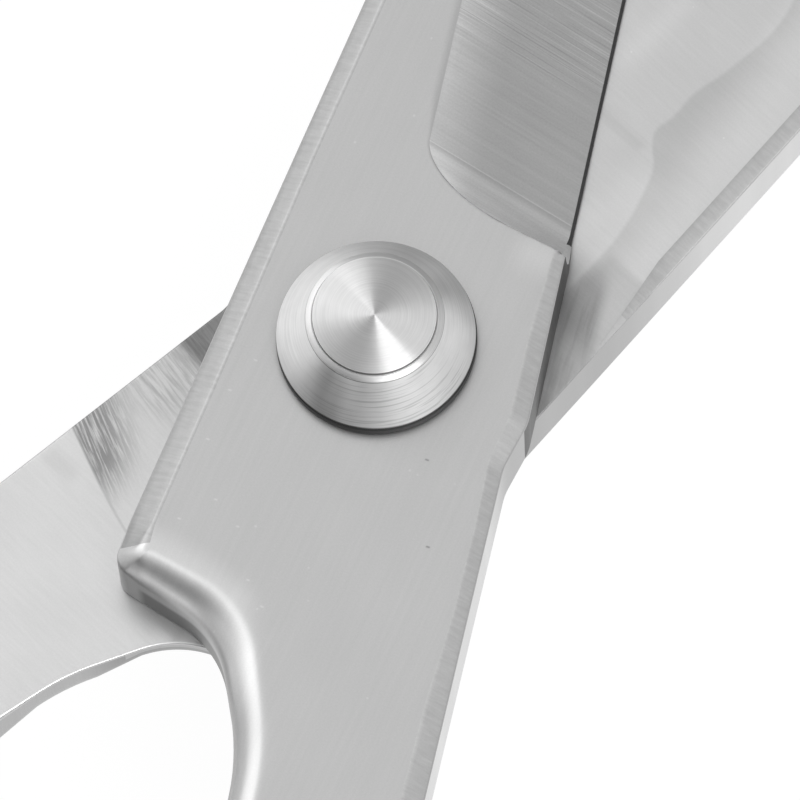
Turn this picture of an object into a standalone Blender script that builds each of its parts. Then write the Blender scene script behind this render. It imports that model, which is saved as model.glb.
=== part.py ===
"""Trimming scissors: two forged halves that turn on one bolted pivot.

The pivot runs along Z. Z = 0 is the rear end face of the bolt, the turned head is on top,
and +Y points between the two blade tips. The front half carries the thumb bow, the rear
half is the same blank turned over and carries the longer finger bow.
"""
import math
import bmesh
import bpy
from mathutils import Matrix, Vector
from mathutils.geometry import delaunay_2d_cdt

# Driving sizes in millimetres and degrees

TURN = 13.2                 # each half from the closed position, as photographed
PLATE = 4.5                 # thickness of a forged half
JOINT_GAP = 0.1             # between the two inner faces
PLAY = 0.02                 # axial play between stacked pieces
RADIAL_PLAY = 0.04          # running clearance on the bolt

BLADE_LENGTH = 70.0         # pivot to tip
EDGE_OFFSET = 8.14          # cutting edge line from the pivot
EDGE_LEAN = 6.3
EDGE_LAND = 0.25            # thickness left at the cutting edge
SPINE_OFFSET = 7.75
SPINE_LEAN = 4.15
SPINE_CURVE_AT = 0.74       # of the blade's length, where the spine turns in to the tip
JOINT_STEP = 0.17           # the joint's side stands out from the edge line
SHANK_OFFSET = 7.68
SHANK_LEAN = 5.6
CHOIL = 8.0                 # end of the cutting edge above the pivot
JOG = 1.8                   # below the pivot, where the joint steps in to the shank
JOG_LENGTH = 2.6
NOSE_DROP = 15.0            # lower end of the spine
THROAT_DROP = 22.3          # where the two shanks part

BEVEL_WIDTH = 7.8
RUNOUT_RADIUS = 3.3         # grinding wheel's edge where the bevel ends
RUNOUT_WALL = 75.0
RUNOUT_KINK = 4.0
RUNOUT_SKEW = 5.1
HOLLOW_DEPTH = 0.18         # hollow of the blade's inner face
HOLLOW_WIDTH = 5.6
HOLLOW_LENGTH = 44.0

SPINE_CHAMFER = 0.8
SIDE_CHAMFER = 1.75         # outer side of the shank, fading toward the choil
THROAT_ROUND = 1.75
BOW_ROUND = 1.9
SMALL_BREAK = 0.3

BOW_WALL = 6.0
BOW_GAP = 0.5               # between the closed bows, their stop
THUMB_WIDTH = 22.6
THUMB_LENGTH = 38.0
THUMB_START = 51.0
FINGER_WIDTH = 25.6
FINGER_LENGTH = 60.0
FINGER_START = 48.0
CRANK_START = 30.0
CRANK_LENGTH = 15.0

BOLT_RADIUS = 2.5
BUSH_WALL = 1.0
HEAD_RADIUS = 5.0
HEAD_RIM = 0.12
HEAD_CONE = 2.4
HEAD_NECK_RADIUS = 3.4
HEAD_RING = 0.43
HEAD_FLAT_RADIUS = 3.12
HEAD_WASHER = 0.6
HEAD_WASHER_RADIUS = 4.95
JOINT_WASHER = 0.5
JOINT_WASHER_RADIUS = 6.0
REAR_WASHER = 0.5
REAR_WASHER_RADIUS = 5.0
SPRING_WASHER = 1.2
SPRING_WASHER_WIDTH = 1.4
SPRING_WASHER_SLOT = 12.0
NUT_ACROSS = 8.0
NUT_HEIGHT = 2.7
BOLT_PROUD = 0.5
BOLT_CHAMFER = 0.4

ARC_STEP = 9.0
EDGE_RINGS = 3
ROUND_SEGMENTS = 48

# Heights of the stack, from the rear end face of the bolt

Z_NUT = BOLT_PROUD
Z_SPRING = Z_NUT + NUT_HEIGHT + PLAY
Z_REAR_WASHER = Z_SPRING + SPRING_WASHER + PLAY
Z_REAR = Z_REAR_WASHER + REAR_WASHER + PLAY
Z_JOINT = Z_REAR + PLATE + JOINT_GAP / 2
Z_FRONT = Z_JOINT + JOINT_GAP / 2
Z_HEAD_WASHER = Z_FRONT + PLATE + PLAY
Z_HEAD = Z_HEAD_WASHER + HEAD_WASHER + PLAY
BORE_RADIUS = BOLT_RADIUS + RADIAL_PLAY
BUSH_RADIUS = BORE_RADIUS + BUSH_WALL
SEAT_DEPTH = (JOINT_WASHER - JOINT_GAP) / 2 + PLAY


def start_empty():
    for ob in list(bpy.data.objects):
        bpy.data.objects.remove(ob, do_unlink=True)


def material(name, colour, metallic, roughness):
    mat = bpy.data.materials.new(name)
    mat.use_nodes = True
    shader = mat.node_tree.nodes["Principled BSDF"]
    shader.inputs["Base Color"].default_value = (*colour, 1.0)
    shader.inputs["Metallic"].default_value = metallic
    shader.inputs["Roughness"].default_value = roughness
    mat.diffuse_color = (*colour, 1.0)
    return mat


def make_object(name, bm, mat):
    """Turn a mesh in millimetres into a named object whose origin is on the pivot."""
    bmesh.ops.remove_doubles(bm, verts=bm.verts[:], dist=1e-5)
    bmesh.ops.recalc_face_normals(bm, faces=bm.faces[:])
    mesh = bpy.data.meshes.new(name)
    bm.to_mesh(mesh)
    bm.free()
    mesh.materials.append(mat)
    ob = bpy.data.objects.new(name, mesh)
    bpy.context.scene.collection.objects.link(ob)
    return ob


def boolean(ob, cutter, operation="DIFFERENCE"):
    cutter.hide_render = True
    cutter.display_type = "WIRE"
    mod = ob.modifiers.new("cut", "BOOLEAN")
    mod.operation = operation
    mod.solver = "EXACT"
    mod.object = cutter
    graph = bpy.context.evaluated_depsgraph_get()
    mesh = bpy.data.meshes.new_from_object(ob.evaluated_get(graph))
    old = ob.data
    ob.modifiers.clear()
    ob.data = mesh
    mesh.name = old.name
    bpy.data.meshes.remove(old)
    bpy.data.objects.remove(cutter, do_unlink=True)


def settle(ob, matrix):
    """Apply a turn, move the origin to the joint's height on the pivot, go to metres."""
    bm = bmesh.new()
    bm.from_mesh(ob.data)
    bmesh.ops.transform(bm, matrix=matrix, verts=bm.verts[:])
    bmesh.ops.remove_doubles(bm, verts=bm.verts[:], dist=1e-5)
    bmesh.ops.dissolve_degenerate(bm, edges=bm.edges[:], dist=1e-5)
    bmesh.ops.triangulate(bm, faces=[f for f in bm.faces if len(f.verts) > 4])
    bmesh.ops.translate(bm, vec=(0.0, 0.0, -Z_JOINT), verts=bm.verts[:])
    bmesh.ops.scale(bm, vec=(0.001, 0.001, 0.001), verts=bm.verts[:])
    bm.to_mesh(ob.data)
    bm.free()
    ob.location = (0.0, 0.0, Z_JOINT * 0.001)


# Outline of a half in the closed position, blade up, cutting edge on the right

def side_x(offset, lean, y):
    """x of a straight side at a set distance from the pivot, leaning left going up."""
    return (offset - y * math.sin(math.radians(lean))) / math.cos(math.radians(lean))


def edge_x(y):
    return side_x(EDGE_OFFSET, EDGE_LEAN, y)


def joint_x(y):
    return side_x(EDGE_OFFSET + JOINT_STEP, EDGE_LEAN, y)


def spine_x(y):
    return -side_x(SPINE_OFFSET, SPINE_LEAN, y)


def shank_x(y):
    return side_x(SHANK_OFFSET, SHANK_LEAN, y)


def chamfer(width, depth):
    return (width, depth, 0.0)


def rounded(radius):
    return (radius, radius, 1.0)


NONE = (0.0, 0.0, 0.0)


def blank_corners():
    """Corners shared by both halves: x, y, plan radius, top edge, bottom edge."""
    tip = BLADE_LENGTH
    turn_in = BLADE_LENGTH * SPINE_CURVE_AT
    jog = -JOG
    shank = -JOG - JOG_LENGTH
    full = -NOSE_DROP - 2.0
    spine = chamfer(SPINE_CHAMFER, SPINE_CHAMFER * 0.6)
    inner = chamfer(SPINE_CHAMFER, SPINE_CHAMFER * 0.5)
    light = chamfer(SMALL_BREAK, SMALL_BREAK)
    blade_side = [
        (edge_x(tip) - 0.15, tip, 0.35, NONE, NONE),
        (edge_x(CHOIL + 1.6), CHOIL + 1.6, 1.0, NONE, NONE),
        (joint_x(CHOIL), CHOIL, 0.5, chamfer(SIDE_CHAMFER * 0.34, SIDE_CHAMFER * 0.17), NONE),
        (joint_x(jog), jog, 3.0, chamfer(SIDE_CHAMFER * 0.56, SIDE_CHAMFER * 0.28), NONE),
        (shank_x(shank), shank, 3.0, chamfer(SIDE_CHAMFER * 0.63, SIDE_CHAMFER * 0.32), light),
        (shank_x(full), full, 0.0, chamfer(SIDE_CHAMFER, SIDE_CHAMFER / 2), light),
    ]
    hand_side = [
        (0.2, -THROAT_DROP, 12.0, rounded(THROAT_ROUND), rounded(SMALL_BREAK)),
        (-2.75, -NOSE_DROP - 1.64, 6.0, rounded(THROAT_ROUND), rounded(SMALL_BREAK)),
        (spine_x(-NOSE_DROP) - 0.0, -NOSE_DROP, 1.3, (0.9, 0.7, 0.5), rounded(SMALL_BREAK)),
        (spine_x(8.0), 8.0, 0.0, spine, NONE),
        (spine_x(16.0), 16.0, 0.0, spine, inner),
        (spine_x(turn_in), turn_in, 60.0, spine, inner),
    ]
    return blade_side, hand_side


def pushed_out(corners, i, wall):
    """Corner i of a hole, moved out by the wall on both of its sides."""
    here = Vector(corners[i][:2])
    before = (here - Vector(corners[i - 1][:2])).normalized()
    after = (Vector(corners[(i + 1) % len(corners)][:2]) - here).normalized()
    na = Vector((-before.y, before.x))
    nb = Vector((-after.y, after.x))
    return here + (na + nb) * (wall / (1 + na.dot(nb)))


def bow_corners(width, length, start):
    """Outer corners of a bow, and the corners of its finger hole."""
    inside = BOW_GAP / 2
    left = inside + BOW_WALL
    low = -start - length
    soft = rounded(BOW_ROUND)
    under = rounded(SMALL_BREAK)
    hole = [
        (left + 0.34 * width, -start, -0.6 * width, soft, soft),
        (left + 0.86 * width, -start - 0.1 * length, -0.6 * width, soft, soft),
        (left + width, -start - 0.5 * length, -0.6 * width, soft, soft),
        (left + 0.94 * width, low + 0.1 * length, -0.7 * width, soft, soft),
        (left + 0.5 * width, low, -0.7 * width, soft, soft),
        (left, low + 0.14 * length, -0.7 * width, soft, soft),
        (left, -start - 0.12 * length, -0.8 * width, soft, soft),
    ]
    outer = [(shank_x(-36.0), -36.0, -14.0, chamfer(SIDE_CHAMFER, SIDE_CHAMFER / 2), under)]
    for i in range(1, 6):
        place = pushed_out(hole, i, BOW_WALL)
        outer.append((place.x, place.y, -width, soft, soft))
    outer.append((inside, -52.0, -12.0, soft, soft))
    outer.append((inside + 1.2, -32.0, -10.0, rounded(THROAT_ROUND), under))
    return outer, hole


def soft_corner(here, before, after, reach):
    """Points of a parabola that leaves both straight sides within a set reach."""
    first = here + before.normalized() * min(reach, 0.5 * before.length)
    last = here + after.normalized() * min(reach, 0.5 * after.length)
    turn = math.pi - before.angle(after)
    steps = max(2, math.ceil(math.degrees(turn) / ARC_STEP))
    points = []
    for k in range(steps + 1):
        t = k / steps
        points.append(first * (1 - t) ** 2 + here * (2 * t * (1 - t)) + last * t ** 2)
    return points


def rounded_path(corners):
    """Round every corner by an arc, or by a parabola where the radius is negative.

    Each point keeps its corner's edge treatment.
    """
    points = []
    count = len(corners)
    for i, (x, y, radius, top, bottom) in enumerate(corners):
        here = Vector((x, y))
        before = Vector(corners[i - 1][:2]) - here
        after = Vector(corners[(i + 1) % count][:2]) - here
        turn = math.pi - before.angle(after)
        if radius == 0.0 or turn < 1e-3:
            points.append((here, top, bottom))
            continue
        if radius < 0.0:
            for point in soft_corner(here, before, after, -radius):
                points.append((point, top, bottom))
            continue
        reach = min(radius * math.tan(turn / 2), 0.49 * before.length, 0.49 * after.length)
        radius = reach / math.tan(turn / 2)
        before.normalize()
        after.normalize()
        middle = (before + after).normalized()
        centre = here + middle * (radius / math.cos(turn / 2))
        first = here + before * reach - centre
        sense = 1.0 if before.x * after.y - before.y * after.x < 0.0 else -1.0
        steps = max(1, math.ceil(math.degrees(turn) / ARC_STEP))
        for k in range(steps + 1):
            angle = sense * turn * k / steps
            points.append((centre + Matrix.Rotation(angle, 2) @ first, top, bottom))
    return [p for i, p in enumerate(points) if (p[0] - points[i - 1][0]).length > 1e-3]


def inward(points):
    """Mitred directions toward the metal on the right of the path's direction."""
    out = []
    count = len(points)
    for i in range(count):
        a = (points[i][0] - points[i - 1][0]).normalized()
        b = (points[(i + 1) % count][0] - points[i][0]).normalized()
        na = Vector((a.y, -a.x))
        nb = Vector((b.y, -b.x))
        mid = (na + nb).normalized()
        out.append(mid / max(0.5, mid.dot(na)))
    return out


def edge_ring(points, normals, share, top):
    """One ring of the rounded or chamfered edge; share 0 is the wall, 1 is the flat face."""
    ring = []
    for (point, high, low), normal in zip(points, normals):
        width, depth, roundness = high if top else low
        angle = share * math.pi / 2
        inset = width * ((1 - roundness) * share + roundness * (1 - math.cos(angle)))
        drop = depth * (1 - (1 - roundness) * share - roundness * math.sin(angle))
        place = point + normal * inset
        ring.append((place.x, place.y, PLATE - drop if top else drop))
    return ring


def inside_polygon(x, y, ring):
    hit = False
    for i in range(len(ring)):
        ax, ay = ring[i - 1][:2]
        bx, by = ring[i][:2]
        if (ay > y) != (by > y) and x < (bx - ax) * (y - ay) / (by - ay) + ax:
            hit = not hit
    return hit


def cap(bm, loops):
    """Fill a flat face between its outline and its finger hole."""
    flat = []
    lines = []
    verts = []
    for loop in loops:
        start = len(flat)
        for k, vert in enumerate(loop):
            flat.append(Vector((vert.co.x, vert.co.y)))
            verts.append(vert)
            lines.append((start + k, start + (k + 1) % len(loop)))
    made, _, faces, origin, _, _ = delaunay_2d_cdt(flat, lines, [], 0, 1e-6)
    rings = [[v.co for v in loop] for loop in loops]
    for face in faces:
        middle = sum((made[i] for i in face), Vector((0.0, 0.0))) / len(face)
        if not inside_polygon(middle.x, middle.y, rings[0]):
            continue
        if len(rings) > 1 and inside_polygon(middle.x, middle.y, rings[1]):
            continue
        corner = [verts[origin[i][0]] for i in face]
        if len(set(corner)) == 3:
            bm.faces.new(corner)


def crank_drop(y):
    """How far the shank has been bent toward the joint plane at this height."""
    share = min(1.0, max(0.0, (-y - CRANK_START) / CRANK_LENGTH))
    return share * share * (3 - 2 * share) * (PLATE + JOINT_GAP) / 2


def forged_blank(width, length, start):
    """Solid of one half, inner face at z = 0 before the crank."""
    blade_side, hand_side = blank_corners()
    outer, hole = bow_corners(width, length, start)
    paths = [rounded_path(blade_side + outer + hand_side), rounded_path(hole[::-1])]
    bm = bmesh.new()
    caps = {True: [], False: []}
    for points in paths:
        normals = inward(points)
        rings = []
        for k in range(EDGE_RINGS, -1, -1):
            rings.append(edge_ring(points, normals, k / EDGE_RINGS, False))
        for k in range(EDGE_RINGS + 1):
            rings.append(edge_ring(points, normals, k / EDGE_RINGS, True))
        made = [[bm.verts.new(co) for co in ring] for ring in rings]
        for low, high in zip(made, made[1:]):
            for i in range(len(low)):
                bm.faces.new((low[i - 1], low[i], high[i], high[i - 1]))
        caps[False].append(made[0])
        caps[True].append(made[-1])
    for loops in caps.values():
        cap(bm, loops)
    bmesh.ops.remove_doubles(bm, verts=bm.verts[:], dist=1e-5)
    for k in range(9):
        level = -CRANK_START - CRANK_LENGTH * k / 8
        geometry = bm.verts[:] + bm.edges[:] + bm.faces[:]
        bmesh.ops.bisect_plane(bm, geom=geometry, dist=1e-4, plane_co=(0, level, 0), plane_no=(0, 1, 0))
    for vert in bm.verts:
        vert.co.z -= crank_drop(vert.co.y)
    return bm


# Cutters

def prism(name, profile, origin, across, up, along, reach):
    """A straight bar whose section is drawn in the plane of across and up."""
    bm = bmesh.new()
    ends = []
    for sign in (-1, 1):
        ring = []
        for u, v in profile:
            ring.append(bm.verts.new(origin + across * u + up * v + along * (sign * reach)))
        ends.append(ring)
    for i in range(len(profile)):
        bm.faces.new((ends[0][i - 1], ends[0][i], ends[1][i], ends[1][i - 1]))
    bm.faces.new(ends[0])
    bm.faces.new(ends[1])
    return make_object(name, bm, CUTTER)


def bevel_cutter():
    """Grinding of the outer face: a plane from the edge, ending in the wheel's radius."""
    lean = math.radians(EDGE_LEAN)
    rise = (PLATE - EDGE_LAND) / BEVEL_WIDTH
    toward = Vector((-math.cos(lean), -math.sin(lean), 0.0))
    at = CHOIL + 2.3
    origin = Vector((edge_x(at), at, EDGE_LAND))
    skew = math.radians(RUNOUT_SKEW)
    plan = Vector((-math.cos(skew), math.sin(skew), 0.0))
    along = (plan + Vector((0, 0, rise * plan.dot(toward)))).normalized()
    up = (Vector((0, 0, 1)) - toward * rise).normalized()
    across = along.cross(up)
    if across.y > 0:
        across.negate()
    kink = math.radians(RUNOUT_KINK)
    wall = math.radians(RUNOUT_WALL)
    profile = [(-2 * BLADE_LENGTH, 0.0)]
    for k in range(9):
        angle = kink + (wall - kink) * k / 8
        u = RUNOUT_RADIUS * (math.sin(angle) - math.sin(kink))
        v = RUNOUT_RADIUS * (math.cos(kink) - math.cos(angle))
        profile.append((u, v))
    high = 3 * PLATE
    profile.append((u + (high - v) / math.tan(wall), high))
    profile.append((-2 * BLADE_LENGTH, high))
    return prism("bevel_cutter", profile, origin, across, up, along, 6 * PLATE)


def hollow_cutter():
    """A flat ellipsoid that leaves the inner face touching only along its borders."""
    bm = bmesh.new()
    bmesh.ops.create_uvsphere(bm, u_segments=48, v_segments=32, radius=1.0)
    depth = 10 * HOLLOW_DEPTH
    spread = 1 / math.sqrt(1 - 0.9 ** 2)
    size = (HOLLOW_WIDTH / 2 * spread, HOLLOW_LENGTH / 2 * spread, depth)
    bmesh.ops.scale(bm, vec=size, verts=bm.verts[:])
    middle_y = JOINT_WASHER_RADIUS + 5.0 + HOLLOW_LENGTH / 2
    middle_x = (edge_x(middle_y) + spine_x(middle_y)) / 2
    tilt = math.atan2(spine_x(0) + edge_x(0) - 2 * middle_x, 2 * middle_y)
    bmesh.ops.rotate(bm, verts=bm.verts[:], cent=(0, 0, 0), matrix=Matrix.Rotation(tilt, 3, "Z"))
    bmesh.ops.translate(bm, verts=bm.verts[:], vec=(middle_x, middle_y, HOLLOW_DEPTH - depth))
    return make_object("hollow_cutter", bm, CUTTER)


def turned(name, profile, mat):
    """Solid of revolution about the pivot from a closed section of radius and height."""
    bm = bmesh.new()
    rings = []
    for radius, z in profile:
        ring = []
        for k in range(ROUND_SEGMENTS):
            angle = 2 * math.pi * k / ROUND_SEGMENTS
            ring.append(bm.verts.new((radius * math.cos(angle), radius * math.sin(angle), z)))
        rings.append(ring)
    for j in range(len(rings)):
        low = rings[j - 1]
        high = rings[j]
        if profile[j - 1][0] == 0.0 and profile[j][0] == 0.0:
            continue
        for i in range(ROUND_SEGMENTS):
            bm.faces.new((low[i - 1], low[i], high[i], high[i - 1]))
    return make_object(name, bm, mat)


def ring_section(inner, outer, low, high, edge=0.0):
    """Section of a washer or sleeve with its outer corners broken."""
    if edge == 0.0:
        return [(inner, low), (outer, low), (outer, high), (inner, high)]
    return [(inner, low), (outer - edge, low), (outer, low + edge), (outer, high - edge),
            (outer - edge, high), (inner, high)]


def bore_cutter(radius):
    return turned("bore_cutter", [(0, -PLATE), (radius, -PLATE), (radius, 2 * PLATE), (0, 2 * PLATE)], CUTTER)


def seat_cutter():
    radius = JOINT_WASHER_RADIUS + 0.05
    return turned("seat_cutter", [(0, -PLATE), (radius, -PLATE), (radius, SEAT_DEPTH), (0, SEAT_DEPTH)], CUTTER)


# Pieces

def scissor_half(name, width, length, start, bore, mat, turned_over):
    ob = make_object(name, forged_blank(width, length, start), mat)
    boolean(ob, bevel_cutter())
    boolean(ob, hollow_cutter())
    boolean(ob, seat_cutter())
    boolean(ob, bore_cutter(bore))
    lift = Matrix.Translation((0, 0, JOINT_GAP / 2))
    if turned_over:
        place = Matrix.Rotation(math.radians(-TURN), 4, "Z") @ Matrix.Rotation(math.pi, 4, "Y")
    else:
        place = Matrix.Rotation(math.radians(TURN), 4, "Z")
    settle(ob, Matrix.Translation((0, 0, Z_JOINT)) @ place @ lift)
    return ob


def pivot_bolt(mat):
    neck = Z_HEAD + HEAD_RIM + HEAD_CONE
    profile = [
        (0.0, 0.0),
        (BOLT_RADIUS - BOLT_CHAMFER, 0.0),
        (BOLT_RADIUS, BOLT_CHAMFER),
        (BOLT_RADIUS, Z_HEAD),
        (HEAD_RADIUS, Z_HEAD),
        (HEAD_RADIUS, Z_HEAD + HEAD_RIM),
        (HEAD_NECK_RADIUS, neck),
        (HEAD_FLAT_RADIUS, neck + HEAD_RING),
        (0.0, neck + HEAD_RING),
    ]
    ob = turned("pivot_bolt", profile, mat)
    settle(ob, Matrix())
    return ob


def washer(name, outer, low, thick, mat, edge=0.0):
    ob = turned(name, ring_section(BORE_RADIUS, outer, low, low + thick, edge), mat)
    settle(ob, Matrix())
    return ob


def pivot_bush(mat):
    low = Z_FRONT + SEAT_DEPTH
    high = Z_FRONT + PLATE
    ob = turned("pivot_bush", ring_section(BORE_RADIUS, BUSH_RADIUS, low, high), mat)
    settle(ob, Matrix())
    return ob


def spring_washer(mat):
    """Split ring of rectangular section, drawn flat as it is when tightened."""
    bm = bmesh.new()
    section = ring_section(BORE_RADIUS, BORE_RADIUS + SPRING_WASHER_WIDTH, Z_SPRING, Z_SPRING + SPRING_WASHER)
    rings = []
    for k in range(ROUND_SEGMENTS + 1):
        share = k / ROUND_SEGMENTS
        angle = math.radians(SPRING_WASHER_SLOT / 2 + (360.0 - SPRING_WASHER_SLOT) * share)
        ring = []
        for radius, z in section:
            ring.append(bm.verts.new((radius * math.cos(angle), radius * math.sin(angle), z)))
        rings.append(ring)
    for low, high in zip(rings, rings[1:]):
        for i in range(4):
            bm.faces.new((low[i - 1], low[i], high[i], high[i - 1]))
    bm.faces.new(rings[0])
    bm.faces.new(rings[-1])
    ob = make_object("spring_washer", bm, mat)
    settle(ob, Matrix())
    return ob


def pivot_nut(mat):
    """Thin hexagon nut with both faces chamfered."""
    corner = NUT_ACROSS / 2 / math.cos(math.pi / 6)
    bm = bmesh.new()
    ends = []
    for z in (Z_NUT, Z_NUT + NUT_HEIGHT):
        ring = []
        for k in range(6):
            angle = math.radians(60 * k + 10)
            ring.append(bm.verts.new((corner * math.cos(angle), corner * math.sin(angle), z)))
        ends.append(ring)
    for i in range(6):
        bm.faces.new((ends[0][i - 1], ends[0][i], ends[1][i], ends[1][i - 1]))
    bm.faces.new(ends[0])
    bm.faces.new(ends[1])
    ob = make_object("pivot_nut", bm, mat)
    flat = NUT_ACROSS / 2 * 0.95
    slope = 0.5
    far = corner * 1.1
    high = Z_NUT + NUT_HEIGHT
    profile = [
        (0.0, Z_NUT - 1.0),
        (flat - 1.0 / slope, Z_NUT - 1.0),
        (far, Z_NUT + (far - flat) * slope),
        (far, high - (far - flat) * slope),
        (flat - 1.0 / slope, high + 1.0),
        (0.0, high + 1.0),
    ]
    boolean(ob, turned("nut_chamfer", profile, CUTTER), "INTERSECT")
    hole = [(0, 0), (BORE_RADIUS, 0), (BORE_RADIUS, 2 * high), (0, 2 * high)]
    boolean(ob, turned("nut_bore", hole, CUTTER))
    settle(ob, Matrix())
    return ob


start_empty()
CUTTER = material("cutter", (0.8, 0.2, 0.2), 0.0, 0.5)
front_steel = material("forged_stainless_front", (0.56, 0.57, 0.57), 1.0, 0.38)
rear_steel = material("forged_stainless_rear", (0.55, 0.56, 0.56), 1.0, 0.38)
bolt_steel = material("turned_bolt_steel", (0.62, 0.62, 0.62), 1.0, 0.25)
black_nylon = material("black_nylon", (0.02, 0.02, 0.02), 0.0, 0.5)
bush_bronze = material("bush_bronze", (0.55, 0.38, 0.2), 1.0, 0.35)
joint_polymer = material("joint_polymer", (0.75, 0.74, 0.7), 0.0, 0.45)
rear_plate = material("rear_washer_steel", (0.5, 0.5, 0.51), 1.0, 0.35)
spring_steel = material("spring_steel", (0.35, 0.35, 0.36), 1.0, 0.4)
nut_steel = material("nut_steel", (0.53, 0.53, 0.54), 1.0, 0.33)

scissor_half("front_half", THUMB_WIDTH, THUMB_LENGTH, THUMB_START, BUSH_RADIUS + PLAY, front_steel, False)
scissor_half("rear_half", FINGER_WIDTH, FINGER_LENGTH, FINGER_START, BORE_RADIUS, rear_steel, True)
pivot_bolt(bolt_steel)
washer("head_washer", HEAD_WASHER_RADIUS, Z_HEAD_WASHER, HEAD_WASHER, black_nylon, 0.1)
pivot_bush(bush_bronze)
washer("joint_washer", JOINT_WASHER_RADIUS, Z_JOINT - JOINT_WASHER / 2, JOINT_WASHER, joint_polymer)
washer("rear_washer", REAR_WASHER_RADIUS, Z_REAR_WASHER, REAR_WASHER, rear_plate)
spring_washer(spring_steel)
pivot_nut(nut_steel)
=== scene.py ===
"""Trimming scissors, dressed for the photograph's close view of the pivot."""
import math
import bmesh
import bpy
import numpy as np
from mathutils import Matrix, Vector
from mathutils.geometry import delaunay_2d_cdt
from mathutils.kdtree import KDTree


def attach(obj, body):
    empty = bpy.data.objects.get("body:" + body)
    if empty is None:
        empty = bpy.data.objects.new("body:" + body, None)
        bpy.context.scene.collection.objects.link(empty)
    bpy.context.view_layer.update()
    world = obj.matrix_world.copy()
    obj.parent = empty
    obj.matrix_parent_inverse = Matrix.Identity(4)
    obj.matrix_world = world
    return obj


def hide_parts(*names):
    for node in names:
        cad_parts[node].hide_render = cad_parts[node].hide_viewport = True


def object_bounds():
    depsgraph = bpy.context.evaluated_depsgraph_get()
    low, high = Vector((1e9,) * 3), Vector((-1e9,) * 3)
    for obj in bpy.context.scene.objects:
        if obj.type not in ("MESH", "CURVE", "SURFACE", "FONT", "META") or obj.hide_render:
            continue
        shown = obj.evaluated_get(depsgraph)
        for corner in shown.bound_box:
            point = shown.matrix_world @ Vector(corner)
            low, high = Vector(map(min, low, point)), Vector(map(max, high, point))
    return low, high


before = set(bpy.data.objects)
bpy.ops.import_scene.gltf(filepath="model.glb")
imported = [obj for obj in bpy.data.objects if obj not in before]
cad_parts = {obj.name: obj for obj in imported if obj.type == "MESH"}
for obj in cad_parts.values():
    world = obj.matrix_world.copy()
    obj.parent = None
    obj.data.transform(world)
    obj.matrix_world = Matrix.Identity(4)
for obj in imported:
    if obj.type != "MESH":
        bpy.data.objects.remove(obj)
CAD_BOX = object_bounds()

bl_info = {
    "name": "Trimming Scissors",
    "version": (1, 0, 0),
    "blender": (4, 5, 0),
    "location": "View3D > Sidebar > Scissors",
    "description": "Forged trimming scissors with a turned pivot bolt, and a pale studio",
    "category": "Add Mesh",
}

# Sizes of the solids in millimetres and degrees, as in the part's source

TURN = 13.2
PLATE = 4.5
JOINT_GAP = 0.1
PLAY = 0.02
RADIAL_PLAY = 0.04
BLADE_LENGTH = 70.0
EDGE_OFFSET = 8.14
EDGE_LEAN = 6.3
EDGE_LAND = 0.25
SPINE_OFFSET = 7.75
SPINE_LEAN = 4.15
SPINE_CURVE_AT = 0.74
JOINT_STEP = 0.17
SHANK_OFFSET = 7.68
SHANK_LEAN = 5.6
CHOIL = 8.0
JOG = 1.8
JOG_LENGTH = 2.6
NOSE_DROP = 15.0
THROAT_DROP = 22.3
BEVEL_WIDTH = 7.8
RUNOUT_RADIUS = 3.3
RUNOUT_WALL = 75.0
RUNOUT_KINK = 4.0
RUNOUT_SKEW = 5.1
HOLLOW_DEPTH = 0.18
HOLLOW_WIDTH = 5.6
HOLLOW_LENGTH = 44.0
THROAT_ROUND = 1.75
BOW_ROUND = 1.9
SMALL_BREAK = 0.3
BOW_WALL = 6.0
BOW_GAP = 0.5
THUMB_BOW = (22.6, 38.0, 51.0)
FINGER_BOW = (25.6, 60.0, 48.0)
CRANK_START = 30.0
CRANK_LENGTH = 15.0
BOLT_RADIUS = 2.5
BUSH_WALL = 1.0
HEAD_RADIUS = 5.0
HEAD_RIM = 0.12
HEAD_CONE = 2.4
HEAD_NECK_RADIUS = 3.4
HEAD_RING = 0.43
HEAD_FLAT_RADIUS = 3.12
HEAD_WASHER = 0.6
HEAD_WASHER_RADIUS = 4.95
JOINT_WASHER = 0.5
JOINT_WASHER_RADIUS = 6.0
REAR_WASHER = 0.5
REAR_WASHER_RADIUS = 5.0
SPRING_WASHER = 1.2
SPRING_WASHER_WIDTH = 1.4
SPRING_WASHER_SLOT = 12.0
NUT_ACROSS = 8.0
NUT_HEIGHT = 2.7
NUT_TURN = 10.0
BOLT_PROUD = 0.5
BOLT_CHAMFER = 0.4

Z_NUT = BOLT_PROUD
Z_SPRING = Z_NUT + NUT_HEIGHT + PLAY
Z_REAR_WASHER = Z_SPRING + SPRING_WASHER + PLAY
Z_REAR = Z_REAR_WASHER + REAR_WASHER + PLAY
Z_JOINT = Z_REAR + PLATE + JOINT_GAP / 2
Z_FRONT = Z_JOINT + JOINT_GAP / 2
Z_HEAD_WASHER = Z_FRONT + PLATE + PLAY
Z_HEAD = Z_HEAD_WASHER + HEAD_WASHER + PLAY
BORE_RADIUS = BOLT_RADIUS + RADIAL_PLAY
BUSH_RADIUS = BORE_RADIUS + BUSH_WALL
SEAT_RADIUS = JOINT_WASHER_RADIUS + 0.05
SEAT_DEPTH = (JOINT_WASHER - JOINT_GAP) / 2 + PLAY

# How finely the visible surfaces are drawn

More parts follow.
